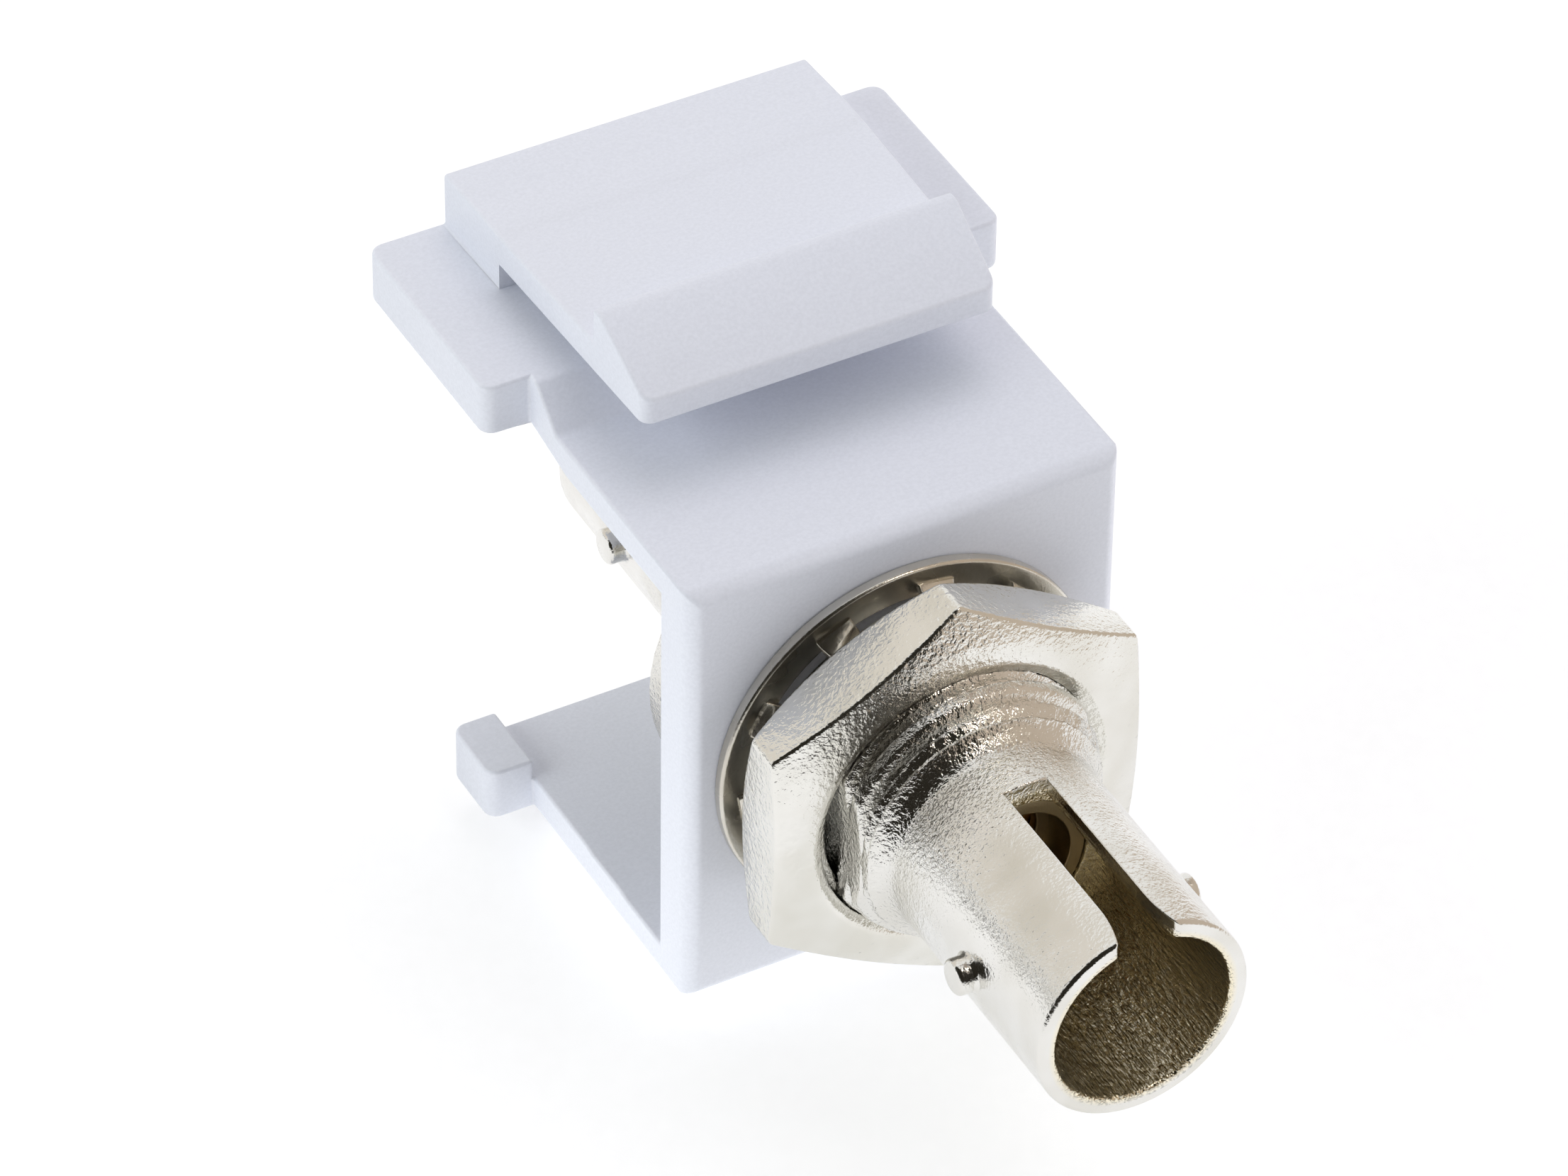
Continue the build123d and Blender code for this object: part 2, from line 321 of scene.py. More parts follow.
# %% Rounded outlines
ARC_STEP = math.radians(15)
SAMPLE_CORNER = 0.1


def rounded_outline(corners):
    """A closed outline from (a, b, radius) corners.

    Each corner becomes an arc that touches both its sides: its centre lies on the bisector at
    radius / sin(half angle), and the arc's points turn from one contact point to the other.
    """
    outline = []
    places = [np.array(corner[:2], float) for corner in corners]
    for index, (here, corner) in enumerate(zip(places, corners)):
        radius = corner[2]
        if radius == 0:
            outline.append(here)
            continue
        back = places[index - 1] - here
        ahead = places[(index + 1) % len(places)] - here
        back /= np.linalg.norm(back)
        ahead /= np.linalg.norm(ahead)
        half_angle = math.acos(np.clip(back @ ahead, -1, 1)) / 2
        bisector = (back + ahead) / np.linalg.norm(back + ahead)
        centre = here + bisector * radius / math.sin(half_angle)
        start = here + back * radius / math.tan(half_angle) - centre
        end = here + ahead * radius / math.tan(half_angle) - centre
        turn = math.pi - 2 * half_angle
        share = np.linspace(0, 1, max(2, math.ceil(turn / ARC_STEP) + 1))[:, None]
        arc = (np.sin((1 - share) * turn) * start + np.sin(share * turn) * end) / math.sin(turn)
        outline.extend(centre + arc)
    return np.array(outline)


rounded_square = rounded_outline([(*corner, SAMPLE_CORNER) for corner in unit_square])
print("points of a rounded square:", len(rounded_square))

# %% [markdown]
# The outlines repeat the measured model's dimensions, so that each new form lies in the place
# of the solid that it stands for.

# %% Insert dimensions
shell_low, shell_high = node_box("keystone_housing")
BODY_HALF = 7.25
BODY_TOP = 7.95
FRONT_WALL = 1.8
TOP_WALL = 1.08
FLOOR_WALL = 1.14
FLOOR_LENGTH = 12.6
FRONT_EDGE = 0.5
FRONT_EDGE_SEGMENTS = 7
SMALL_EDGE = 0.11
SMALL_EDGE_SEGMENTS = 3
PANEL_STOP = 10.0
WING_TOP = 9.1
WING_THICKNESS = 1.8
WING_CORNER = 0.45
JOGGLE = (8.35, 9.65)
UNDERSIDE_RISE = 7.7
LUG_HEIGHT = 1.85
HOOK_HALF = 3.5
HOOK_DEPTH = 1.1
HOOK_REAR = 8.4
HOOK_LAND = 1.0
HOOK_RAMP = 1.5
STEP_PLACES = (6.2, 4.0)
STEP_RUN = 0.4
STEP_DROP = 0.07
ROOT_HALF = 6.18
ROOT_FRONT = 14.05
KNEE = 15.3
ROOT_TOP = 11.1
ROOT_REAR_TOP = 10.95
HOLE_RADIUS = 4.7
HOLE_FLATS = 8.1
HOLE_ARC_POINTS = 33
insert_rear = shell_high[1]
wing_half = shell_high[0]
print("insert, mm:", (shell_high - shell_low).round(2))

# %% Insert outlines
floor_level = FLOOR_WALL - BODY_TOP
floor_front_level = floor_level - STEP_DROP * len(STEP_PLACES)
floor_steps = []
for index, place in enumerate(STEP_PLACES):
    level = floor_level - STEP_DROP * index
    floor_steps += [(place + STEP_RUN, level), (place, level - STEP_DROP)]

side_outline = [
    (0, -BODY_TOP),
    (0, BODY_TOP),
    (JOGGLE[0], BODY_TOP),
    (JOGGLE[1], WING_TOP),
    (insert_rear, WING_TOP),
    (insert_rear, WING_TOP - WING_THICKNESS),
    (PANEL_STOP, WING_TOP - WING_THICKNESS),
    (UNDERSIDE_RISE, BODY_TOP - TOP_WALL),
    (FRONT_WALL, BODY_TOP - TOP_WALL),
    (FRONT_WALL, floor_front_level),
    *reversed(floor_steps),
    (FLOOR_LENGTH, floor_level),
    (FLOOR_LENGTH, -BODY_TOP),
]
wing_plan = rounded_outline([
    (-wing_half, PANEL_STOP, WING_CORNER),
    (wing_half, PANEL_STOP, WING_CORNER),
    (wing_half, insert_rear, WING_CORNER),
    (-wing_half, insert_rear, WING_CORNER),
])
print("side outline corners:", len(side_outline))

# %% Root, hook, hole and lugs
root_outline = [
    (ROOT_FRONT, WING_TOP - WING_THICKNESS / 2),
    (ROOT_FRONT, ROOT_TOP),
    (KNEE, ROOT_TOP),
    (insert_rear, ROOT_REAR_TOP),
    (insert_rear, WING_TOP - WING_THICKNESS / 2),
]
hook_outline = [
    (HOOK_REAR, -BODY_TOP + FLOOR_WALL / 2),
    (HOOK_REAR, -BODY_TOP - HOOK_DEPTH),
    (HOOK_REAR - HOOK_LAND, -BODY_TOP - HOOK_DEPTH),
    (HOOK_REAR - HOOK_LAND - HOOK_RAMP, -BODY_TOP),
    (HOOK_REAR - HOOK_LAND - HOOK_RAMP, -BODY_TOP + FLOOR_WALL / 2),
]
hole_angle = math.acos(HOLE_FLATS / 2 / HOLE_RADIUS)
upper = np.linspace(hole_angle, math.pi - hole_angle, HOLE_ARC_POINTS)
hole_turn = np.concatenate((upper, upper + math.pi))
hole_outline = HOLE_RADIUS * np.stack((np.cos(hole_turn), np.sin(hole_turn)), axis=-1)
lug_plans = []
for side in (-1, 1):
    lug_plans.append(rounded_outline([
        (side * BODY_HALF, PANEL_STOP, 0),
        (side * wing_half, PANEL_STOP, WING_CORNER),
        (side * wing_half, FLOOR_LENGTH, WING_CORNER),
        (side * BODY_HALF, FLOOR_LENGTH, 0),
    ]))
print("hole outline points:", len(hole_outline))

# %% Join the insert
def bevel_front(piece):
    """Round the four edges of the front face by their full radius."""
    with edited(piece.data) as edit:
        front = [edge for edge in edit.edges if max(v.co.y for v in edge.verts) < WELD * MM]
        bmesh.ops.bevel(
            edit, geom=front, offset=FRONT_EDGE * MM, segments=FRONT_EDGE_SEGMENTS,
            profile=0.5, affect="EDGES",
        )


def sharp_weights(piece, left_sharp):
    """Full bevel weight on edges that turn sharply, unless left_sharp(edge) is true."""
    with edited(piece.data) as edit:
        layer = edit.edges.layers.float.new("bevel_weight_edge")
        for edge in edit.edges:
            turned_edge = edge.is_manifold and edge.calc_face_angle() > EDGE_ANGLE
            kept_sharp = left_sharp(edge)
            edge[layer] = float(turned_edge and not kept_sharp)
            edge.smooth = not kept_sharp


def at_root_front(edge):
    """True for the edges that the latch continues from, which have no radius of their own."""
    return all(abs(v.co.y / MM - ROOT_FRONT) < WELD and v.co.z / MM > WING_TOP for v in edge.verts)


keystone_shell = plain_piece("keystone_shell", *prism(side_outline, "x", -BODY_HALF, BODY_HALF))
bevel_front(keystone_shell)
lug_top = LUG_HEIGHT - BODY_TOP
join(
    keystone_shell, "UNION",
    prism(wing_plan, "z", WING_TOP - WING_THICKNESS, WING_TOP),
    *[prism(plan, "z", -BODY_TOP, lug_top) for plan in lug_plans],
    prism(root_outline, "x", -ROOT_HALF, ROOT_HALF),
    prism(hook_outline, "x", -HOOK_HALF, HOOK_HALF),
)
join(keystone_shell, "DIFFERENCE", prism(hole_outline, "y", -FRONT_WALL, 2 * FRONT_WALL))
clean_faces(keystone_shell)
sharp_weights(keystone_shell, at_root_front)
keystone_shell.data.shade_smooth()
soften(keystone_shell, SMALL_EDGE, SMALL_EDGE_SEGMENTS)
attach(keystone_shell, "insert")
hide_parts("keystone_housing")
print("insert faces:", len(keystone_shell.data.polygons))

# %% [markdown]
# ## The latch
#
# The latch is the same moulding. It grows out of the root block and bends there when a thumb
# presses it. Cuts across the arm in that short stretch give the bend vertices to work with.

# %% Latch outlines
ARM_BOTTOM = 9.97
TIP_FACE = 0.93
RIDGE_TOP = 12.3
RIDGE_REAR = 8.4
RIDGE_LAND = 0.45
TIP_HALF = 5.9
TIP_CORNER = 0.4
HIDDEN = 0.06
HIDDEN_LENGTH = 0.4
arm_tip = node_box("latch_arm")[0][1]
arm_outline = [
    (arm_tip, ARM_BOTTOM),
    (arm_tip, ARM_BOTTOM + TIP_FACE),
    (RIDGE_REAR - RIDGE_LAND, RIDGE_TOP),
    (RIDGE_REAR, RIDGE_TOP),
    (RIDGE_REAR, ROOT_TOP),
    (ROOT_FRONT, ROOT_TOP),
    (ROOT_FRONT + HIDDEN, ROOT_TOP - HIDDEN),
    (ROOT_FRONT + HIDDEN_LENGTH, ROOT_TOP - HIDDEN),
    (ROOT_FRONT + HIDDEN_LENGTH, ARM_BOTTOM),
]
arm_plan = rounded_outline([
    (TIP_HALF, arm_tip, TIP_CORNER),
    (ROOT_HALF, ROOT_FRONT, 0),
    (ROOT_HALF - HIDDEN, ROOT_FRONT + HIDDEN, 0),
    (ROOT_HALF - HIDDEN, insert_rear, 0),
    (HIDDEN - ROOT_HALF, insert_rear, 0),
    (HIDDEN - ROOT_HALF, ROOT_FRONT + HIDDEN, 0),
    (-ROOT_HALF, ROOT_FRONT, 0),
    (-TIP_HALF, arm_tip, TIP_CORNER),
])
print("latch, mm: from", arm_tip.round(2), "to", ROOT_FRONT)

# %% Latch
BEND_LENGTH = 0.9
BEND_CUTS = 7


def cut_across(piece, places):
    """Cut a piece's faces by planes across Y, without opening them."""
    with edited(piece.data) as edit:
        for place in places:
            everything = [*edit.verts, *edit.edges, *edit.faces]
            bmesh.ops.bisect_plane(
                edit, geom=everything, plane_co=(0, place * MM, 0), plane_no=(0, 1, 0)
            )


latch = plain_piece("latch", *prism(arm_outline, "x", -BODY_HALF, BODY_HALF))
join(latch, "INTERSECT", prism(arm_plan, "z", WING_TOP, RIDGE_TOP + TIP_FACE))
clean_faces(latch)
cut_across(latch, np.linspace(ROOT_FRONT - BEND_LENGTH, ROOT_FRONT, BEND_CUTS)[:-1])
sharp_weights(latch, lambda edge: min(v.co.y for v in edge.verts) > (ROOT_FRONT - WELD) * MM)
latch.data.shade_smooth()
soften(latch, SMALL_EDGE, SMALL_EDGE_SEGMENTS)
final_mesh(latch)
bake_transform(latch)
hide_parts("latch_arm")
print("latch faces:", len(latch.data.polygons))

# %% [markdown]
# ## The coupler's die-cast halves
#
# Each half is a zinc casting: a round port with a keyway along its top, a neck that flares
# into the thread, and a flange or collar behind. A lathe profile with a boolean slot would
# give the form, but the exact boolean leaves long thin faces that catch the light badly on
# polished metal. Here the slot is part of the grid. The columns of the port's rows start at
# the slot's edge, the few columns over the slot have no faces there, and short walls join the
# outer and the inner surface.

# %% Port profile
BARREL = 3.475
PORT_BORE = 2.88
RIM_RADIUS = 0.13
RIM_SEGMENTS = 5
PORT_DEPTH = 7.3
SLOT_LENGTH = 7.0
SLOT_HALF = 0.71
SLOT_FLARE = 0.25
SLOT_FLARE_LENGTH = 1.5
SLOT_LIP = 0.12
SLOT_EDGE = 0.06
SLOT_EDGE_SEGMENTS = 3
SLOT_ROWS = 12
FLARE_ROWS = 14


def slot_half_width(inward):
    """Half width of the keyway at a distance inward from the rim.

    It is constant, then grows with the square of the way into the flare, and last follows a
    quarter circle out over the lip.
    """
    flare = np.clip(1 - inward / SLOT_FLARE_LENGTH, 0, 1) ** 2 * SLOT_FLARE
    lip = np.clip(SLOT_LIP - inward, 0, SLOT_LIP)
    return SLOT_HALF + flare + SLOT_LIP - np.sqrt(SLOT_LIP ** 2 - lip ** 2)


def port_profile():
    """Rows of the port's wall as (radius, inward): outside, rim with two arcs, inside."""
    straight = np.concatenate((
        np.linspace(SLOT_LENGTH, SLOT_FLARE_LENGTH, SLOT_ROWS),
        np.linspace(SLOT_FLARE_LENGTH, RIM_RADIUS, FLARE_ROWS)[1:],
    ))
    turn = np.linspace(0, math.pi / 2, RIM_SEGMENTS + 1)[1:]
    arc_out = RIM_RADIUS * (np.cos(turn) - 1)
    arc_in = RIM_RADIUS * (1 - np.sin(turn))
    inward = np.concatenate((straight, arc_in))
    outside = np.concatenate((0 * straight + BARREL, BARREL + arc_out))
    inside = np.concatenate((0 * straight + PORT_BORE, PORT_BORE - arc_out))
    return (
        np.concatenate((outside, inside[::-1])),
        np.concatenate((inward, inward[::-1])),
    )


port_radii, port_inward = port_profile()
port_rows = len(port_radii)
print("rows in a port:", port_rows)

# %% Columns round a half
FLATS_HALF = 3.95
FLATS_LIMIT = math.sin(math.radians(84))
ZONE_COLUMNS = (40, 14, 80, 14, 40, 8)
round_columns = sum(ZONE_COLUMNS[:-1])
all_columns = sum(ZONE_COLUMNS)
print("columns round a coupler half:", all_columns)


def column_angles(radius, inward):
    """Angle of each column of each row, from the top towards +X.

    Six zones: from the slot's edge to the flat, across the flat, round the underside, across
    the other flat, back to the slot, and over the slot. Within a zone the angles are even.
    """
    edge = np.arcsin(slot_half_width(inward) / radius)
    flat = np.arcsin(np.clip(FLATS_HALF / radius, 0, FLATS_LIMIT))
    turn = 2 * math.pi
    bounds = (edge, flat, math.pi - flat, math.pi + flat, turn - flat, turn - edge, turn + edge)
    zones = []
    for low, high, count in zip(bounds, bounds[1:], ZONE_COLUMNS):
        zones.append(low[:, None] + (high - low)[:, None] * np.arange(count) / count)
    return np.concatenate(zones, axis=1)

# %% [markdown]
# A Screw modifier gives a perfect thread. The real one is cast, and its first turns are worn. So
# the thread is a depth that depends on the place along the axis and the angle round it, and wear
# is another: a few sine waves with random phases, seeded so that every run gives the same.

# %% Thread and wear
THREAD_RADIUS = 4.6
THREAD_PITCH = 0.79
THREAD_DEPTH = 0.32
THREAD_CREST = 0.36
WEAR_DEPTH = 0.055
WEAR_WAVES = (13, 23, 41, 67, 97)
WEAR_TILT = 9
WEAR_SEED = 3


def smoothstep(way):
    """A share that starts and ends level: w^2 (3 - 2 w), with w the way, held to 0 to 1."""
    way = np.clip(way, 0, 1)
    return way ** 2 * (3 - 2 * way)


def thread_groove(place, angle):
    """Share of the thread's depth, 0 on the crest and 1 at the root.

    The phase is y / pitch less one part in a turn, which makes a right-hand helix. Its
    distance from the root gives a V with flat crests, and a cosine rounds both.
    """
    phase = (place / THREAD_PITCH - angle / (2 * math.pi)) % 1
    away = np.abs(phase - 0.5) * 2
    share = np.clip(1 - away / (1 - THREAD_CREST), 0, 1)
    return 0.5 - 0.5 * np.cos(math.pi * share)


def wear(place, angle):
    """Uneven relief of a worn casting, from -1 to 1: the mean of waves round and along the axis.

    Each wave is sin(k a + m y + phase). Its k is whole, so that the wave closes on itself.
    """
    chance = np.random.default_rng(WEAR_SEED)
    relief = 0 * angle
    for turns in WEAR_WAVES:
        along, phase = chance.uniform((-WEAR_TILT, 0), (WEAR_TILT, 2 * math.pi))
        relief += np.sin(turns * angle + along * place + phase)
    return relief / len(WEAR_WAVES)


quarter_turns = np.linspace(0, 2 * math.pi, 5)[:4]
print("groove at four angles:", thread_groove(0 * quarter_turns, quarter_turns).round(2))

# %% One coupler half
FLATS_COLUMN = 3
WEAR_COLUMN = 4


def about_axis(radius, place, angle):
    """Points at a radius and an angle about the coupler's axis: (r sin a, y, r cos a)."""
    return np.stack((radius * np.sin(angle), place, radius * np.cos(angle)), axis=-1)


def coupler_half(name, rows, place_of):
    """One coupler half from rows of (radius, inward, thread share, flats, wear share).

    Each point is (r sin a, y, r cos a). The radius is the row's, less the thread's groove and
    the wear, and no more than the flat's distance divided by the sine of the angle where there
    are flats. The sine is kept off zero, where no flat reaches. The quads over the slot are left
    out, and walls of quads along the slot's edges join the outer to the inner surface.
    """
    radius, inward, thread, flats, worn = rows.T
    angle = column_angles(radius, inward)
    place = place_of(inward)[:, None] + 0 * angle
    depth = thread[:, None] * THREAD_DEPTH * thread_groove(place, angle)
    depth += worn[:, None] * WEAR_DEPTH * wear(place, angle)
    across = FLATS_HALF / np.maximum(np.abs(np.sin(angle)), FLATS_HALF / THREAD_RADIUS / 2)
    reach = np.where(flats[:, None] > 0, np.minimum(radius[:, None] - depth, across),
                     radius[:, None] - depth)
    points = about_axis(reach, place, angle)

    quads = grid_quads(len(rows), all_columns)
    kept = np.ones(quads.shape[:2], bool)
    kept[:port_rows - 1, round_columns:] = False
    half = port_rows // 2
    outer = np.arange(half)
    inner = port_rows - 1 - outer
    walls = []
    for column in (0, round_columns):
        walls.append(np.stack((
            outer[:-1] * all_columns + column,
            outer[1:] * all_columns + column,
            inner[1:] * all_columns + column,
            inner[:-1] * all_columns + column,
        ), axis=-1))
    over = np.arange(round_columns, all_columns)
    ahead = (over + 1) % all_columns
    last = (port_rows - 1) * all_columns
    walls.append(np.stack((over, ahead, last + ahead, last + over), axis=-1))
    faces = np.concatenate((quads[kept], *walls))
    return add_piece(name, points.reshape(-1, 3), faces)


def plain_rows(outline):
    """Rows with no thread, flats or wear, from (radius, inward) points."""
    outline = np.asarray(outline, float)
    return np.hstack((outline, np.zeros((len(outline), 3))))

# %% [markdown]
# The front half's crest starts low behind the neck and nears its full height over the first
# millimetre, as an exponential. Two flats keep the coupler from turning in the insert's hole.
# The whole half is one list of rows: the port, the inside from the port's bottom to the flange,
# then back along the outside over thread, neck and barrel.

# %% Neck and thread
NECK_START = 8.35
NECK_RADIUS = 0.9
NECK_ROWS = 14
THREAD_START_RADIUS = 4.0
THREAD_RUN = 0.6
THREAD_START_RUN = 0.35
THREAD_STEP = 0.055
THREAD_FINE_LENGTH = 2
WEAR_RUN = 1.1
EDGE_ARC = 0.08


def front_place(inward):
    """Y at a distance inward from the front rim."""
    return front_rim + inward


def neck_arc(end):
    """The neck as (radius, inward) points: a circle's arc from the barrel to an end angle."""
    turn = np.linspace(0, end, NECK_ROWS)
    outward = BARREL + NECK_RADIUS * (1 - np.cos(turn))
    return np.stack((outward, NECK_START + NECK_RADIUS * np.sin(turn)), axis=-1)


neck = plain_rows(neck_arc(math.acos(1 - (THREAD_START_RADIUS - BARREL) / NECK_RADIUS)))
neck[:, FLATS_COLUMN] = 1
neck[:, WEAR_COLUMN] = np.linspace(0, 1, len(neck)) ** 2
thread_first = neck[-1, 1] + EDGE_ARC
thread_last = FRONT_WALL - front_rim
thread_inward = np.concatenate((
    np.arange(thread_first, thread_first + THREAD_FINE_LENGTH, THREAD_STEP),
    np.arange(thread_first + THREAD_FINE_LENGTH, thread_last, 2 * THREAD_STEP),
))
along = thread_inward - thread_first
crest = THREAD_RADIUS - (THREAD_RADIUS - THREAD_START_RADIUS) * np.exp(-along / THREAD_RUN)
thread_share = smoothstep(along / THREAD_START_RUN)
worn_share = np.exp(-along / WEAR_RUN)
thread_rows = np.stack(
    (crest, thread_inward, thread_share, 0 * crest + 1, worn_share), axis=-1
)
print("rows on neck and thread:", len(neck) + len(thread_rows))

# %% Front half
BARREL_ROWS = 5
BARREL_STEP = 0.3
BARREL_GAP = 0.05
FLANGE = 5.85
FLANGE_CHAMFER = 0.3
FLANGE_REAR = 5.4
SPIGOT_BORE = 4.25
SPIGOT_END = 2.6
HOLDER_BORE = 2.35
tail = rounded_outline([
    (THREAD_RADIUS - THREAD_DEPTH, thread_last, 0),
    (FLANGE, thread_last, EDGE_ARC),
    (FLANGE, FLANGE_REAR - FLANGE_CHAMFER - front_rim, EDGE_ARC),
    (FLANGE - FLANGE_CHAMFER, FLANGE_REAR - front_rim, EDGE_ARC),
    (SPIGOT_BORE, FLANGE_REAR - front_rim, EDGE_ARC),
    (SPIGOT_BORE, SPIGOT_END - front_rim, 0),
    (HOLDER_BORE, SPIGOT_END - front_rim, 0),
    (HOLDER_BORE, PORT_DEPTH, EDGE_ARC),
    (PORT_BORE, PORT_DEPTH, 0),
])
port = plain_rows(np.stack((port_radii, port_inward), axis=-1))
barrel_steps = BARREL_GAP + BARREL_STEP * np.arange(BARREL_ROWS)
barrel = plain_rows(np.stack((BARREL + 0 * barrel_steps, NECK_START - barrel_steps), axis=-1))
front_rows = np.concatenate((
    port,
    plain_rows(tail[::-1]),
    thread_rows[::-1],
    neck[::-1],
    barrel,
))
front_body = coupler_half("coupler_front", front_rows, front_place)

# %% [markdown]
# The keyway's edges were left sharp by the slot's walls. The rule below finds them again: both
# ends of an edge lie on the keyway's outline, or on the line across its inner end.

# %% Keyway edges
ON_OUTLINE = 0.002


def keyway_edges(inward_of):
    """A rule that picks the edges along the keyway's outline from their two ends."""
    def on_outline(place):
        inward = inward_of(place[:, 1])
        beside = np.abs(np.abs(place[:, 0]) - slot_half_width(inward)) < ON_OUTLINE
        return beside & (place[:, 2] > 0) & (inward < SLOT_LENGTH + WELD)

    def chosen(start, end):
        along = np.abs(np.hypot(*start[:, ::2].T) - np.hypot(*end[:, ::2].T)) < RIM_RADIUS
        across = np.abs(inward_of(start[:, 1]) - SLOT_LENGTH) < WELD
        across &= np.abs(inward_of(end[:, 1]) - SLOT_LENGTH) < WELD
        over = across & (np.abs(start[:, 0] + end[:, 0]) < 2 * SLOT_HALF)
        over &= (start[:, 2] > 0) & (np.abs(start[:, 0]) < SLOT_HALF + WELD)
        over &= np.abs(end[:, 0]) < SLOT_HALF + WELD
        return (on_outline(start) & on_outline(end) & along) | (over & along)

    return chosen


marked = mark_edges(front_body, keyway_edges(lambda place: place - front_rim))
soften(front_body, SLOT_EDGE, SLOT_EDGE_SEGMENTS)
print("keyway edges:", marked)

# %% [markdown]
# ## Bayonet pins
#
# The connector's ring locks on two pins, which are part of the casting. Each flares into the
# barrel with a small fillet. A cylinder joined by a boolean would meet the barrel in a hard
# line, so a pin is a grid of rings round its own axis whose last rings lie on the barrel's curve.

# %% Pins
PIN_RADIUS = 0.575
PIN_TIP = 4.025
PIN_SETBACK = 4.05
PIN_EDGE = 0.14
PIN_FILLET = 0.16
PIN_COLUMNS = 48
PIN_ARC_ROWS = 5
PIN_SINK = 0.05
FILLET_SINK = 0.0125
CORE_SINK = 0.48


def pin(side, place):
    """One pin: a disc with a rounded edge, a straight side, and a fillet onto the barrel.

    On the barrel x = sqrt(R^2 - h^2), where h is the point's height over the pin's axis. The
    fillet goes from PIN_FILLET above that curve to its own radius out along it. The pin ends a
    little way inside the barrel, where its last rings run together to a point.
    """
    angle = np.arange(PIN_COLUMNS) * 2 * math.pi / PIN_COLUMNS
    turn = np.linspace(0, math.pi / 2, PIN_ARC_ROWS)[:, None]
    tip_radius = PIN_RADIUS - PIN_EDGE + PIN_EDGE * np.sin(turn) + 0 * angle
    tip_reach = PIN_TIP - PIN_EDGE + PIN_EDGE * np.cos(turn) + 0 * angle
    foot_radius = PIN_RADIUS + PIN_FILLET * (1 - np.cos(turn)) + 0 * angle
    above = PIN_FILLET * (1 - np.sin(turn)) - FILLET_SINK
    foot_reach = np.sqrt(BARREL ** 2 - (foot_radius * np.sin(angle)) ** 2) + above
    centre_radius = np.full((1, PIN_COLUMNS), WELD / 4)
    radius = np.concatenate((centre_radius, tip_radius, foot_radius, foot_radius[-1:],
                             centre_radius))
    reach = np.concatenate((tip_reach[:1], tip_reach, foot_reach, foot_reach[-1:] - PIN_SINK,
                            centre_radius + BARREL - CORE_SINK))
    points = np.stack((side * reach, place + radius * np.cos(angle), radius * np.sin(angle)),
                      axis=-1)
    rows = len(radius)
    return points.reshape(-1, 3), grid_quads(rows, PIN_COLUMNS)[:-1].reshape(-1, 4)


def joined(*surfaces):
    """Several (points, faces) surfaces as one, with the faces renumbered."""
    points = []
    faces = []
    count = 0
    for surface_points, surface_faces in surfaces:
        points.append(surface_points)
        faces.append(surface_faces + count)
        count += len(surface_points)
    return np.concatenate(points), np.concatenate(faces)


def dress_casting(piece, name, place, node):
    """Add both pins to a coupler half and let the two stand for its measured node."""
    pins = add_piece(name + "_pins", *joined(pin(-1, place), pin(1, place)))
    for part in (piece, pins):
        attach(part, "insert")
        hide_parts(node)
    return pins


front_pins = dress_casting(
    front_body, "coupler_front", front_place(PIN_SETBACK), "adapter_front_body"
)

# %% [markdown]
# ## The rear half
#
# The rear half has the same port the other way round. Its neck ends in a collar against the
# flange, and a spigot behind the collar is pressed into the front half. A mirrored copy of the
# front half would have a thread there, so the same functions are given other rows instead.

# %% Rear half
COLLAR = 4.9
SPIGOT = 4.23


def rear_place(inward):
    """Y at a distance inward from the rear rim."""
    return rear_rim - inward


rear_neck = neck_arc(math.pi / 2)
neck_foot, collar_inward = rear_neck[-1]
rear_tail = rounded_outline([
    (neck_foot + WELD, collar_inward, 0),
    (COLLAR, collar_inward, 2 * EDGE_ARC),
    (COLLAR, rear_rim - FLANGE_REAR, EDGE_ARC),
    (SPIGOT, rear_rim - FLANGE_REAR, 0),
    (SPIGOT, rear_rim - SPIGOT_END, EDGE_ARC),
    (HOLDER_BORE, rear_rim - SPIGOT_END, 0),
    (HOLDER_BORE, PORT_DEPTH, EDGE_ARC),
    (PORT_BORE, PORT_DEPTH, 0),
])
rear_rows = np.concatenate((port, plain_rows(rear_tail[::-1]), plain_rows(rear_neck[::-1]), barrel))
rear_body = coupler_half("coupler_rear", rear_rows, rear_place)
mark_edges(rear_body, keyway_edges(lambda place: rear_rim - place))
soften(rear_body, SLOT_EDGE, SLOT_EDGE_SEGMENTS)
rear_pins = dress_casting(
    rear_body, "coupler_rear", rear_place(PIN_SETBACK), "adapter_rear_body"
)

# %% [markdown]
# ## The hexagon nut
#
# A nut is a hexagon whose corners a turning tool has cut back to a cone on both faces, which
# gives the curved line on each side. A boolean of a hexagon and a cone would do, but on a
# grid round the axis the same form is one formula, with its corners and edges rounded as the
# plating leaves them.

# %% Hexagon
HALF_SIDE_ANGLE = math.pi / 6
NUT_APOTHEM = 6.15
NUT_CORNER_RADIUS = 0.28
SIDE_COLUMNS = 24
CORNER_COLUMNS = 12
corner_centre = (NUT_APOTHEM - NUT_CORNER_RADIUS) / math.cos(HALF_SIDE_ANGLE)
side_half = math.atan(corner_centre * math.sin(HALF_SIDE_ANGLE) / NUT_APOTHEM)


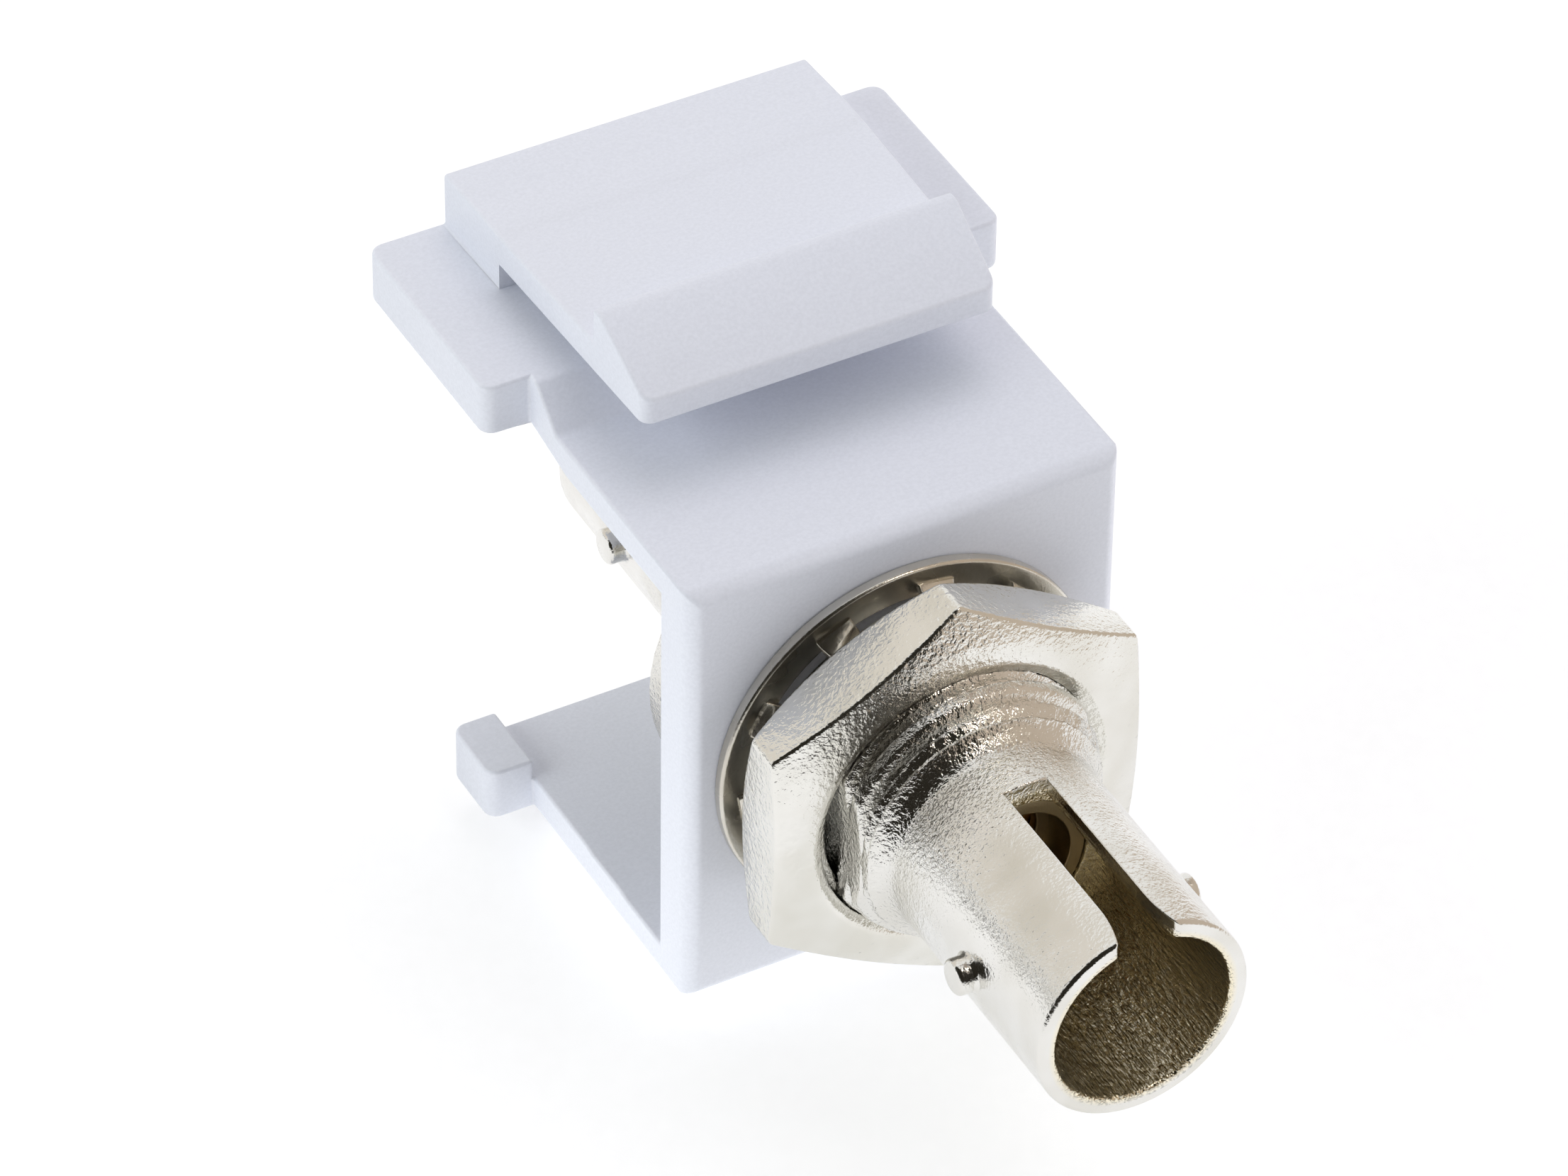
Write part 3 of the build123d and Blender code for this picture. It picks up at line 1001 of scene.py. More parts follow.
def hexagon_radius(angle):
    """Distance to a hexagon with rounded corners, at an angle from the corner at the top.

    On a side it is the apothem divided by the cosine of the angle from the side's middle. Near
    a corner it is the far side of a circle centred on the line to the corner.
    """
    shifted = (angle + HALF_SIDE_ANGLE) % (2 * HALF_SIDE_ANGLE)
    from_corner = np.abs(shifted - HALF_SIDE_ANGLE)
    from_middle = HALF_SIDE_ANGLE - from_corner
    side = NUT_APOTHEM / np.cos(from_middle)
    beside = corner_centre * np.sin(from_corner)
    within = np.clip(NUT_CORNER_RADIUS ** 2 - beside ** 2, 0, None)
    corner = corner_centre * np.cos(from_corner) + np.sqrt(within)
    return np.where(from_middle > side_half, corner, side)


def hexagon_angles():
    """Columns round the nut, close together on the rounded corners."""
    corner_half = HALF_SIDE_ANGLE - side_half
    side_end = 2 * HALF_SIDE_ANGLE - corner_half
    corner = np.linspace(-corner_half, corner_half, CORNER_COLUMNS, endpoint=False)
    side = np.linspace(corner_half, side_end, SIDE_COLUMNS, endpoint=False)
    sixth = np.concatenate((corner, side))
    return (sixth + np.arange(6)[:, None] * 2 * HALF_SIDE_ANGLE).ravel()


print("nut columns:", len(hexagon_angles()))

# %% Nut faces
NUT_DOME_START = 5.0
NUT_DOME_END = 5.9
NUT_REAR_FACE = 5.9
NUT_FRONT_CHAMFER = math.tan(math.radians(18))
NUT_REAR_CHAMFER = math.tan(math.radians(30))
nut_low, nut_high = node_box("hex_nut")
nut_front, nut_rear = nut_low[1], nut_high[1]


def front_of(radius):
    """Y of the nut's front: flat, then a curve of even bend, then the cone of the chamfer."""
    bend = np.clip(radius - NUT_DOME_START, 0, NUT_DOME_END - NUT_DOME_START)
    beyond = np.clip(radius - NUT_DOME_END, 0, None)
    rise = bend ** 2 / (NUT_DOME_END - NUT_DOME_START) / 2 + beyond
    return nut_front + NUT_FRONT_CHAMFER * rise


def rear_of(radius):
    """Y of the nut's rear: flat, then the cone of the rear chamfer."""
    return nut_rear - NUT_REAR_CHAMFER * np.clip(radius - NUT_REAR_FACE, 0, None)


print("nut, mm: from", nut_front.round(2), "to", nut_rear.round(2))

# %% [markdown]
# The rows go once round the nut's section: from the bore over the front to the side, over the
# rear, and back through the bore, which follows the coupler's thread. A countersink opens the
# bore in front.

# %% Nut
NUT_EDGE = 0.1
NUT_EDGE_ROWS = 6
NUT_FACE_ROWS = 14
NUT_BEVEL = 0.25
NUT_SINK_RADIUS = 4.93
NUT_SINK = math.tan(math.radians(60))
NUT_CLEARANCE = 0.03
NUT_BORE_STEP = 0.04
nut_bore = THREAD_RADIUS + NUT_CLEARANCE


def rounded_corner(before, corner, after):
    """Rows from one point over a corner to another: the quadratic curve that all three give."""
    share = np.linspace(0, 1, NUT_EDGE_ROWS)[:, None, None]
    return (1 - share) ** 2 * before + 2 * share * (1 - share) * corner + share ** 2 * after


def nut_points():
    """Rows of (radius, y) for every column at once, from the bore over the front to the rear.

    Face rows share the way from the bevel to the hexagon, and the curve of the face gives
    their y, so the line where dome and side meet bends by itself. Bore rows follow the
    coupler's thread at the nut's clearance, or the cone of the countersink where it is wider.
    """
    angle = hexagon_angles()
    reach = hexagon_radius(angle)
    share = np.linspace(0, 1, NUT_FACE_ROWS)[:, None]
    face = NUT_SINK_RADIUS + (reach - NUT_EDGE - NUT_SINK_RADIUS) * share
    rear_inner = nut_bore + NUT_BEVEL
    rear = (rear_inner + (reach - NUT_EDGE - rear_inner) * share)[::-1]
    front_edge = rounded_corner(
        np.stack((reach - NUT_EDGE, front_of(reach - NUT_EDGE))),
        np.stack((reach, front_of(reach))),
        np.stack((reach, front_of(reach) + NUT_EDGE)),
    )
    rear_edge = rounded_corner(
        np.stack((reach, rear_of(reach) - NUT_EDGE)),
        np.stack((reach, rear_of(reach))),
        np.stack((reach - NUT_EDGE, rear_of(reach - NUT_EDGE))),
    )
    bore_place = np.arange(nut_rear - NUT_BEVEL, nut_front, -NUT_BORE_STEP)[:, None] + 0 * angle
    bore = np.maximum(
        nut_bore - THREAD_DEPTH * thread_groove(bore_place, angle),
        NUT_SINK_RADIUS - NUT_SINK * (bore_place - nut_front),
    )
    radius = np.concatenate((face, front_edge[1:, 0], rear_edge[:, 0], rear[1:], bore))
    place = np.concatenate(
        (front_of(face), front_edge[1:, 1], rear_edge[:, 1], rear_of(rear[1:]), bore_place)
    )
    points = about_axis(radius, place, angle)
    return points.reshape(-1, 3), grid_quads(len(radius), len(angle)).reshape(-1, 4)


nut = add_piece("nut", *nut_points())
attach(nut, "insert")
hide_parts("hex_nut")

# %% [markdown]
# ## The lock washer
#
# The washer is stamped from thin steel: a slightly hollow ring with ten teeth inside, each
# twisted so that its edge bites. The ring is turned, and a tooth is a rounded strip carried
# inwards while it rises off the wall and twists. One tooth's arrays, turned about the axis,
# give all ten. The washer is loose on the thread, and in the photograph it was clamped a
# little above and to the left of the axis.

# %% Washer band
WASHER_RADIUS = 6.25
WASHER_BAND = 1.15
WASHER_THICKNESS = 0.42
WASHER_HOLLOW = 0.12
WASHER_EDGE = 0.1
TURN_COLUMNS = 160
band_inner = WASHER_RADIUS - WASHER_BAND
band = rounded_outline([
    (WASHER_RADIUS, 0, WASHER_EDGE),
    (WASHER_RADIUS, -WASHER_THICKNESS, WASHER_EDGE),
    (band_inner, WASHER_HOLLOW - WASHER_THICKNESS, WASHER_EDGE),
    (band_inner, 0, WASHER_EDGE),
])


def turned(outline):
    """Carry an outline of (radius, y) round the axis in even steps."""
    angle = np.arange(TURN_COLUMNS) * 2 * np.pi / TURN_COLUMNS
    points = about_axis(outline[:, 0, None], outline[:, 1, None] + 0 * angle, angle)
    return points.reshape(-1, 3), grid_quads(len(outline), TURN_COLUMNS).reshape(-1, 4)


print("points round the band's section:", len(band))

# %% Washer teeth
WASHER_SHIFT = (-0.144, 0, 0.278)
TOOTH_COUNT = 10
TOOTH_START = math.radians(9)
TOOTH_RISE = 0.34
TOOTH_HALF = 0.625
TOOTH_TIP = 5.0
TOOTH_TWIST = math.radians(24)
TOOTH_STATIONS = 7
TOOTH_OVERLAP = 0.5
tooth_section = rounded_outline([
    (-TOOTH_HALF, -WASHER_THICKNESS / 2, WASHER_EDGE),
    (TOOTH_HALF, -WASHER_THICKNESS / 2, WASHER_EDGE),
    (TOOTH_HALF, WASHER_THICKNESS / 2, WASHER_EDGE),
    (-TOOTH_HALF, WASHER_THICKNESS / 2, WASHER_EDGE),
])


def teeth():
    """Ten strips: section (across, through) turned by a twist that grows towards the tip.

    Twist and rise follow a smoothstep of the way inwards. A strip's radial line stands at its
    own angle round the axis, and a point at each end closes it.
    """
    share = np.linspace(0, 1, TOOTH_STATIONS)[:, None]
    reach = band_inner + TOOTH_OVERLAP + (TOOTH_TIP - band_inner - TOOTH_OVERLAP) * share
    step = smoothstep(share * 2)
    twist = TOOTH_TWIST * step
    lift = -WASHER_THICKNESS / 2 - TOOTH_RISE * step
    across = tooth_section[:, 0] * np.cos(twist) - tooth_section[:, 1] * np.sin(twist)
    through = tooth_section[:, 0] * np.sin(twist) + tooth_section[:, 1] * np.cos(twist) + lift
    across = np.concatenate((across[:1] * 0, across, across[-1:] * 0))
    through = np.concatenate((through[:1] * 0 + lift[0], through, through[-1:] * 0 + lift[-1]))
    reach = np.concatenate((reach[:1], reach, reach[-1:])) + 0 * across
    angle = TOOTH_START + np.arange(TOOTH_COUNT)[:, None, None] * 2 * math.pi / TOOTH_COUNT
    x = reach * np.sin(angle) + across * np.cos(angle)
    z = reach * np.cos(angle) - across * np.sin(angle)
    points = np.stack((x, through + 0 * x, z), axis=-1)
    rows, columns = across.shape
    quads = grid_quads(rows, columns)[:-1].reshape(-1, 4)
    first = rows * columns * np.arange(TOOTH_COUNT)[:, None, None]
    return points.reshape(-1, 3), (quads + first).reshape(-1, 4)


washer_points, washer_faces = joined(turned(band), teeth())
washer = add_piece("washer", washer_points + np.array(WASHER_SHIFT), washer_faces)
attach(washer, "insert")
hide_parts("lock_washer")

# %% [markdown]
# ## Inside the port
#
# At the bottom of each port lies the face of a turned holder, and in it the split sleeve that
# lines up the two ferrules. The holders are turned parts, so an outline carried round the axis
# gives them, as a Screw modifier would. The sleeve's slit would need a boolean in that way, so
# the sleeve is a section with the slit left out, carried along the axis.

# %% Holders and sleeve
MIDDLE = 0.75
SLEEVE_HALF = 5.7
SLEEVE_COLUMNS = 72
SLEEVE_OUTER = 1.6
SLEEVE_BORE = 1.25
SLIT_HALF = 0.25
HOLDER_OUTER = 2.33
HOLDER_CHAMBER = 1.65
HOLDER_LIP = 1.45
HOLDER_MOUTH = 1.85
TURNED_EDGE = 0.06
LIP_START = 5.75
LIP_END = 6.15
HOLDER_FACE = 7.45


def holder_outline(side):
    """Section of one holder as (radius, y): mouth, lip and sleeve chamber."""
    return rounded_outline([
        (HOLDER_OUTER, MIDDLE, 0),
        (HOLDER_OUTER, MIDDLE + side * HOLDER_FACE, TURNED_EDGE),
        (HOLDER_MOUTH, MIDDLE + side * HOLDER_FACE, TURNED_EDGE),
        (HOLDER_MOUTH, MIDDLE + side * LIP_END, 0),
        (HOLDER_LIP, MIDDLE + side * LIP_END, TURNED_EDGE),
        (HOLDER_LIP, MIDDLE + side * LIP_START, TURNED_EDGE),
        (HOLDER_CHAMBER, MIDDLE + side * LIP_START, 0),
        (HOLDER_CHAMBER, MIDDLE, 0),
    ])


holders = []
for name, side in (("front", -1), ("rear", 1)):
    holder = add_piece("holder_" + name, *turned(holder_outline(side)))
    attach(holder, "insert")
    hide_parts("sleeve_holder_" + name)
    holders.append(holder)

# %% Split sleeve
def slit_tube():
    """A tube whose section stops at both sides of a slit, closed by two flat walls.

    Outer and inner arc run from the slit's edge round to its other edge, so the columns of a
    row form one closed loop, and the rows at the two ends are joined across the wall.
    """
    arc = np.linspace(0, 1, SLEEVE_COLUMNS)
    outer_edge = math.asin(SLIT_HALF / SLEEVE_OUTER)
    inner_edge = math.asin(SLIT_HALF / SLEEVE_BORE)
    outer = outer_edge + (2 * math.pi - 2 * outer_edge) * arc
    inner = inner_edge + (2 * math.pi - 2 * inner_edge) * arc
    loop = np.concatenate((
        SLEEVE_OUTER * np.stack((np.sin(outer), np.cos(outer)), axis=-1),
        SLEEVE_BORE * np.stack((np.sin(inner), np.cos(inner)), axis=-1)[::-1],
    ))
    ends = MIDDLE + SLEEVE_HALF * np.array((-1, 1))
    x, place = np.meshgrid(loop[:, 0], ends)
    points = np.stack((x, place, np.broadcast_to(loop[:, 1], x.shape)), axis=-1).reshape(-1, 3)
    columns = len(loop)
    sides = grid_quads(2, columns)[0]
    near = np.arange(len(arc) - 1)
    across = np.stack((near, near + 1, columns - 2 - near, columns - 1 - near), axis=-1)
    return points, np.concatenate((sides, across, across[:, ::-1] + columns))


sleeve = add_piece("sleeve", *slit_tube())
soften(sleeve, TURNED_EDGE / 2, 2, "ANGLE")
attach(sleeve, "insert")
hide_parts("split_sleeve")

# %% [markdown]
# ## Materials
#
# A material could be painted on an image, but an image needs a UV map and blurs when the camera
# comes close. Noise in a node tree has neither fault. All patterns here use Object coordinates,
# which are metres in the shared frame, so a noise whose features are 0.2 mm wide has a scale of
# one divided by 0.0002. Colours are written as sRGB hex values, as a colour picker shows them,
# and one function turns them to linear light. One more adds a node.

# %% Colour and scale
def linear(hex_colour):
    """sRGB hex to linear RGBA: c / 12.92 for dark channels, ((c + 0.055) / 1.055) ^ 2.4 else."""
    channels = [int(hex_colour[start:start + 2], 16) / 255 for start in (1, 3, 5)]
    values = [c / 12.92 if c <= 0.04045 else ((c + 0.055) / 1.055) ** 2.4 for c in channels]
    return (*values, 1)


def noise_scale(size):
    """Scale of a noise whose features are about this many millimetres wide."""
    return 1 / (size * MM)


def span(low, high, new_low=0.0, new_high=1.0):
    """Inputs of a Map Range node: the part of a value to stretch, and its new limits."""
    return {"From_Min": low, "From_Max": high, "To_Min": new_low, "To_Max": new_high}


print("middle grey in linear light:", round(linear("#808080")[0], 3))

# %% Nodes
def add_node(tree, kind, **given):
    """Add a shader node with its settings and links.

    Words that start with a small letter are settings. The others are inputs, by name or by
    number as in _0, and hold a value, a socket, or a node, whose first output in use is linked.
    """
    node = tree.nodes.new("ShaderNode" + kind)
    for key, value in given.items():
        if key[0].islower():
            setattr(node, key, value)
    sockets = [socket for socket in node.inputs if socket.enabled]
    names = [socket.name.replace(" ", "_") for socket in sockets]
    for key, value in given.items():
        if key[0].islower():
            continue
        socket = sockets[int(key[1:]) if key[1:].isdigit() else names.index(key)]
        if isinstance(value, bpy.types.Node):
            value = next(output for output in value.outputs if output.enabled)
        if isinstance(value, bpy.types.NodeSocket):
            tree.links.new(value, socket)
        else:
            socket.default_value = value
    return node


def new_material(name):
    """An empty node material and its tree."""
    material = bpy.data.materials.new(name)
    material.use_nodes = True
    material.node_tree.nodes.clear()
    return material, material.node_tree

# %% [markdown]
# The insert is white ABS from a mould with a fine spark-eroded texture: a matt grain of about
# 0.1 mm that only shows as a soft sparkle in the light, with very faint flow marks. Light goes
# half a millimetre into the plastic before it comes out again, which softens its edges. Grain
# and flow marks are too shallow for the mesh, so both are bumps.

# %% White moulded ABS
GRAIN_SIZE = 0.11
GRAIN_DEPTH = 0.0028
FLOW_SIZE = 3.0
FLOW_DEPTH = 0.006
NOISE_SPAN = (0.35, 0.65)
WIDE_SPAN = (0.3, 0.7)
ABS_TINTS = ("#E6E9F2", "#ECEFF8")
ABS_ROUGHNESS = (0.46, 0.56)
ABS_IOR = 1.54
ABS_LIGHT_SHARE = 0.08
ABS_LIGHT_DEPTH = 0.5


def white_abs():
    """Spark-eroded moulded ABS."""
    material, tree = new_material("white_abs_moulded")
    place = add_node(tree, "TexCoord").outputs["Object"]
    grain = add_node(
        tree, "TexNoise", Vector=place, Scale=noise_scale(GRAIN_SIZE), Detail=3.0, Roughness=0.6
    )
    flow = add_node(tree, "TexNoise", Vector=place, Scale=noise_scale(FLOW_SIZE), Detail=1.0)
    speckle = add_node(tree, "MapRange", Value=grain, **span(*NOISE_SPAN))
    dark, light = [linear(tint) for tint in ABS_TINTS]
    tint = add_node(tree, "Mix", data_type="RGBA", Factor=speckle, A=dark, B=light)
    rough = add_node(tree, "MapRange", Value=flow, **span(*WIDE_SPAN, *ABS_ROUGHNESS))
    flowed = add_node(tree, "Bump", Height=flow, Distance=FLOW_DEPTH * MM)
    normal = add_node(tree, "Bump", Height=grain, Distance=GRAIN_DEPTH * MM, Normal=flowed)
    plastic = add_node(
        tree, "BsdfPrincipled", Base_Color=tint, Roughness=rough, IOR=ABS_IOR, Normal=normal,
        Subsurface_Weight=ABS_LIGHT_SHARE, Subsurface_Radius=(1.0, 1.0, 1.0),
        Subsurface_Scale=ABS_LIGHT_DEPTH * MM,
    )
    add_node(tree, "OutputMaterial", Surface=plastic)
    return material


abs_material = white_abs()
for piece in (keystone_shell, latch):
    piece.data.materials.clear()
    piece.data.materials.append(abs_material)
print("nodes in the insert's material:", len(abs_material.node_tree.nodes))

# %% [markdown]
# The metal pieces are plated with nickel: bright, with a slightly warm grey, orange-peel waves,
# small pits, and patches that differ in how rough they are. The real waves and pits are about
# 0.05 mm wide. At this picture size they wouldn't show, so they are drawn two to four times as
# wide. Waves and pits could be modelled, but they are so shallow that a bump gives the same
# highlights for far fewer faces.

# %% Plated metal
PATCH_SIZE = 2.2
PATCH_ROUGHNESS = (-0.04, 0.06)
PATCH_RELIEF = (0.7, 1.0)
PEEL_SIZE = 0.2
PEEL_DEPTH = 0.03
PEEL_BLEND = 0.45
PIT_SIZE = 0.1
PIT_DEPTH = 0.01
PIT_BLEND = 0.6


def patches(tree, place, light, dark, roughness):
    """Soft patches of a plated surface: their share, tint and roughness."""
    spots = add_node(tree, "TexNoise", Vector=place, Scale=noise_scale(PATCH_SIZE))
    share = add_node(tree, "MapRange", Value=spots, **span(*NOISE_SPAN))
    tints = {"A": linear(light), "B": linear(dark)}
    tint = add_node(tree, "Mix", data_type="RGBA", Factor=share, **tints)
    smooth, dull = [roughness + change for change in PATCH_ROUGHNESS]
    rough = add_node(tree, "MapRange", Value=share, **span(0.0, 1.0, smooth, dull))
    return share, tint, rough


def relief(tree, place, size, blend, share, depth, under=None):
    """One layer of relief over another: noise times a share, as a bump of a depth in mm."""
    rise = add_node(tree, "TexNoise", Vector=place, Scale=noise_scale(size), Roughness=blend)
    height = add_node(tree, "Math", operation="MULTIPLY", _0=rise, _1=share)
    below = {} if under is None else {"Normal": under}
    return add_node(tree, "Bump", Height=height, Distance=depth * MM, **below)


def metal(tree, tint, rough, normal):
    """Send a metal with this tint, roughness and relief to the material's output."""
    shader = add_node(
        tree, "BsdfPrincipled", Base_Color=tint, Metallic=1.0, Roughness=rough, Normal=normal
    )
    add_node(tree, "OutputMaterial", Surface=shader)


def turned_metal(name, light, dark, roughness, peel, pits):
    """A turned or stamped piece: patches, and shares of the casting's orange peel and pits."""
    material, tree = new_material(name)
    place = add_node(tree, "TexCoord").outputs["Object"]
    patch, tint, rough = patches(tree, place, light, dark, roughness)
    share = add_node(tree, "MapRange", Value=patch, **span(0.0, 1.0, *PATCH_RELIEF))
    waves = relief(tree, place, PEEL_SIZE, PEEL_BLEND, share, PEEL_DEPTH * peel)
    normal = relief(tree, place, PIT_SIZE, PIT_BLEND, share, PIT_DEPTH * pits, waves)
    metal(tree, tint, rough, normal)
    return material

# %% [markdown]
# The coupler's two halves are zinc castings under the nickel, and their surface changes from
# place to place. Neck and thread keep the rough skin of the casting. On the outside of the port
# the connector has rubbed it smooth. In the bore the plating is thin and brownish, with streaks
# that the die's core left along the axis and flecks at the bottom. Separate materials would show
# a seam where they meet, so one material fades from zone to zone by the distance from the axis
# and from the middle. The streaks are drawn 0.1 mm wide, coarser than the real ones.

# %% Zones of the casting
BORE_EDGE = (2.95, 3.15)
FLECK_SIZE = 0.1
FLECK_SPAN = (0.5, 0.62)
FLECK_LOW = (-0.8, -2.7)


def in_metres(limits):
    """Two limits in millimetres, in metres."""
    return [limit * MM for limit in limits]


def casting_zones(tree, parts):
    """Two measures of a place: one inside the bore and zero outside, and way from the middle."""
    flat = add_node(tree, "CombineXYZ", X=parts["X"], Z=parts["Z"])
    outward = add_node(tree, "VectorMath", operation="LENGTH", _0=flat)
    inside = add_node(tree, "MapRange", Value=outward, **span(*in_metres(BORE_EDGE), 1.0, 0.0))
    along = add_node(tree, "Math", operation="SUBTRACT", _0=parts["Y"], _1=MIDDLE * MM)
    return inside, add_node(tree, "Math", operation="ABSOLUTE", _0=along)


def bore_flecks(tree, drawn, parts, inside):
    """Height of the flecks: peaks of noise, inside the bore only and growing towards below."""
    spots = add_node(tree, "TexNoise", Vector=drawn, Scale=noise_scale(FLECK_SIZE))
    peaks = add_node(tree, "MapRange", Value=spots, **span(*FLECK_SPAN))
    low = add_node(tree, "MapRange", Value=parts["Z"], **span(*in_metres(FLECK_LOW)))
    kept = add_node(tree, "Math", operation="MULTIPLY", _0=peaks, _1=inside)
    return add_node(tree, "Math", operation="MULTIPLY", _0=kept, _1=low)


print("bore ends at a radius of, m:", in_metres(BORE_EDGE))

# %% Nickel-plated casting
CASTING_TINTS = ("#E8E7E3", "#DFDDD6")
CASTING_ROUGHNESS = 0.17
SKIN_FADE = (6.9, 10.0)
SKIN_PEEL = (1.1, 0.5)
SKIN_PITS = (2.5, 1.0)
BORE_TINT = "#EFE7D0"
BORE_ROUGHNESS = 0.18
BORE_PEEL = 1.0
STREAK_SIZE = 0.1
STREAK_STRETCH = 0.2
STREAK_DEPTH = 0.06
FLECK_DEPTH = 0.035


def nickel_casting():
    """Skin on neck and thread, a smooth port, and a streaked brownish bore."""
    material, tree = new_material("nickel_plated_zinc_casting")
    place = add_node(tree, "TexCoord").outputs["Object"]
    parts = add_node(tree, "SeparateXYZ", Vector=place).outputs
    inside, away = casting_zones(tree, parts)
    tint, rough = patches(tree, place, *CASTING_TINTS, CASTING_ROUGHNESS)[1:]
    tint = add_node(tree, "Mix", data_type="RGBA", Factor=inside, A=tint, B=linear(BORE_TINT))
    rough = add_node(tree, "Mix", Factor=inside, A=rough, B=BORE_ROUGHNESS)
    fade = in_metres(SKIN_FADE)
    peel = add_node(tree, "MapRange", Value=away, **span(*fade, *SKIN_PEEL))
    peel = add_node(tree, "Mix", Factor=inside, A=peel, B=BORE_PEEL)
    pits = add_node(tree, "MapRange", Value=away, **span(*fade, *SKIN_PITS))
    stretch = (1, STREAK_STRETCH, 1)
    drawn = add_node(tree, "VectorMath", operation="MULTIPLY", _0=place, _1=stretch)
    normal = relief(tree, place, PEEL_SIZE, PEEL_BLEND, peel, PEEL_DEPTH)
    normal = relief(tree, place, PIT_SIZE, PIT_BLEND, pits, PIT_DEPTH, normal)
    normal = relief(tree, drawn, STREAK_SIZE, 0.5, inside, STREAK_DEPTH, normal)
    flecks = bore_flecks(tree, drawn, parts, inside)
    normal = add_node(tree, "Bump", Height=flecks, Distance=FLECK_DEPTH * MM, Normal=normal)
    metal(tree, tint, rough, normal)
    return material


casting_material = nickel_casting()
print("nodes in the casting's material:", len(casting_material.node_tree.nodes))

# %% [markdown]
# The nut's plating is nearly as uneven as the casting's skin. The washer is stamped from smooth
# steel sheet, so it has hardly any orange peel. The holders deep in the ports are duller and
# brownish, and the sleeve is phosphor bronze, which looks like pale copper. They differ in tint,
# roughness and relief alone, so one function makes them all.

# %% Metal finishes
nut_material = turned_metal(
    "nickel_plated_nut", "#EBEAE5", "#E2E0D8", roughness=0.18, peel=1.2, pits=1.2
)
washer_material = turned_metal(
    "nickel_plated_steel", "#E0DDD5", "#D1CCC1", roughness=0.24, peel=0.2, pits=0.6
)
holder_material = turned_metal(
    "holder_nickel_dull", "#B5A88F", "#9C8F76", roughness=0.36, peel=0.2, pits=0.5
)
bronze_material = turned_metal(
    "phosphor_bronze", "#C8A06A", "#B58C58", roughness=0.3, peel=0.1, pits=0.2
)
finishes = (
    (casting_material, (front_body, front_pins, rear_body, rear_pins)),
    (nut_material, (nut,)),
    (washer_material, (washer,)),
    (holder_material, holders),
    (bronze_material, (sleeve,)),
)
for material, pieces in finishes:
    for piece in pieces:
        piece.data.materials.append(material)
print("materials:", [material.name for material in bpy.data.materials])

# %% [markdown]
# ## Stage and light
#
# The photograph is a packshot on white: large soft lamps, a floor that stays white, and no hard
# shadow. More light could make the floor white, but it would burn out the pale insert too. So
# floor and world show plain white only to the camera and in reflections, and light the object
# with less. The floor keeps the object's shadow.

# %% Floor
FLOOR_SIZE = 1.2
FLOOR_GAP = 0.00002
FLOOR_GLOW = 0.52
FLOOR_FAR_GLOW = 0.63
FLOOR_FADE = (0.08, 0.4)
FLOOR_COLOURS = ("#D2D2D2", "#D6D6D6")
FIBRE_SIZE = 0.4
floor_height = float(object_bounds()[0][2]) - FLOOR_GAP

floor_corners = [
    (side * FLOOR_SIZE / 2, end * FLOOR_SIZE / 2, floor_height)
    for side, end in ((-1, -1), (1, -1), (1, 1), (-1, 1))
]
floor_mesh = bpy.data.meshes.new("floor")
floor_mesh.from_pydata(floor_corners, [], [(0, 1, 2, 3)])
floor = scene_object("floor", floor_mesh)
print("floor, mm below the axis:", round(-floor_height / MM, 2))

# %% White paper
def seen_directly(tree):
    """One for camera, glossy and transmission rays, zero for the light that falls on things."""
    path = add_node(tree, "LightPath").outputs
    rays = {"_0": path["Is Camera Ray"], "_1": path["Is Glossy Ray"]}
    shown = add_node(tree, "Math", operation="MAXIMUM", **rays)
    return add_node(tree, "Math", operation="MAXIMUM", _0=shown, _1=path["Is Transmission Ray"])


def white_paper():
    """Matt white paper that glows a little to the camera, and keeps the shadow on it.

    It glows more far away, where the lamps reach less, so that no horizon shows.
    """
    material, tree = new_material("white_paper_floor")
    place = add_node(tree, "TexCoord").outputs["Object"]
    spots = add_node(tree, "TexNoise", Vector=place, Scale=noise_scale(FIBRE_SIZE), Detail=3.0)
    fibre = add_node(tree, "MapRange", Value=spots, **span(*WIDE_SPAN))
    dark, light = [linear(colour) for colour in FLOOR_COLOURS]
    tint = add_node(tree, "Mix", data_type="RGBA", Factor=fibre, A=dark, B=light)
    paper = add_node(tree, "BsdfDiffuse", Color=tint)
    away = add_node(tree, "VectorMath", operation="LENGTH", _0=place)
    glows = (FLOOR_GLOW, FLOOR_FAR_GLOW)
    level = add_node(tree, "MapRange", Value=away, **span(*FLOOR_FADE, *glows))
    glow = add_node(tree, "Math", operation="MULTIPLY", _0=seen_directly(tree), _1=level)
    shine = add_node(tree, "Emission", Strength=glow)
    both = add_node(tree, "AddShader", _0=paper, _1=shine)
    add_node(tree, "OutputMaterial", Surface=both)
    return material


paper_material = white_paper()
floor.data.materials.append(paper_material)
print("nodes in the floor's material:", len(paper_material.node_tree.nodes))

# %% [markdown]
# The world is the soft light from all round. It is weaker on one side, in front of the object to
# the left, because the front wall of the insert is grey in the photograph.

# %% World
FILL_BRIGHT = 0.75
FILL_DARK = 0.16
DARK_SIDE = (-40, 25)
DARK_EDGE = (0.15, 0.75)


def direction(azimuth, elevation):
    """Unit vector towards azimuth and elevation in degrees; azimuth 0 is the front, -Y."""
    turn = math.radians(azimuth)
    rise = math.radians(elevation)
    return Vector((
        math.sin(turn) * math.cos(rise), -math.cos(turn) * math.cos(rise), math.sin(rise)
    ))


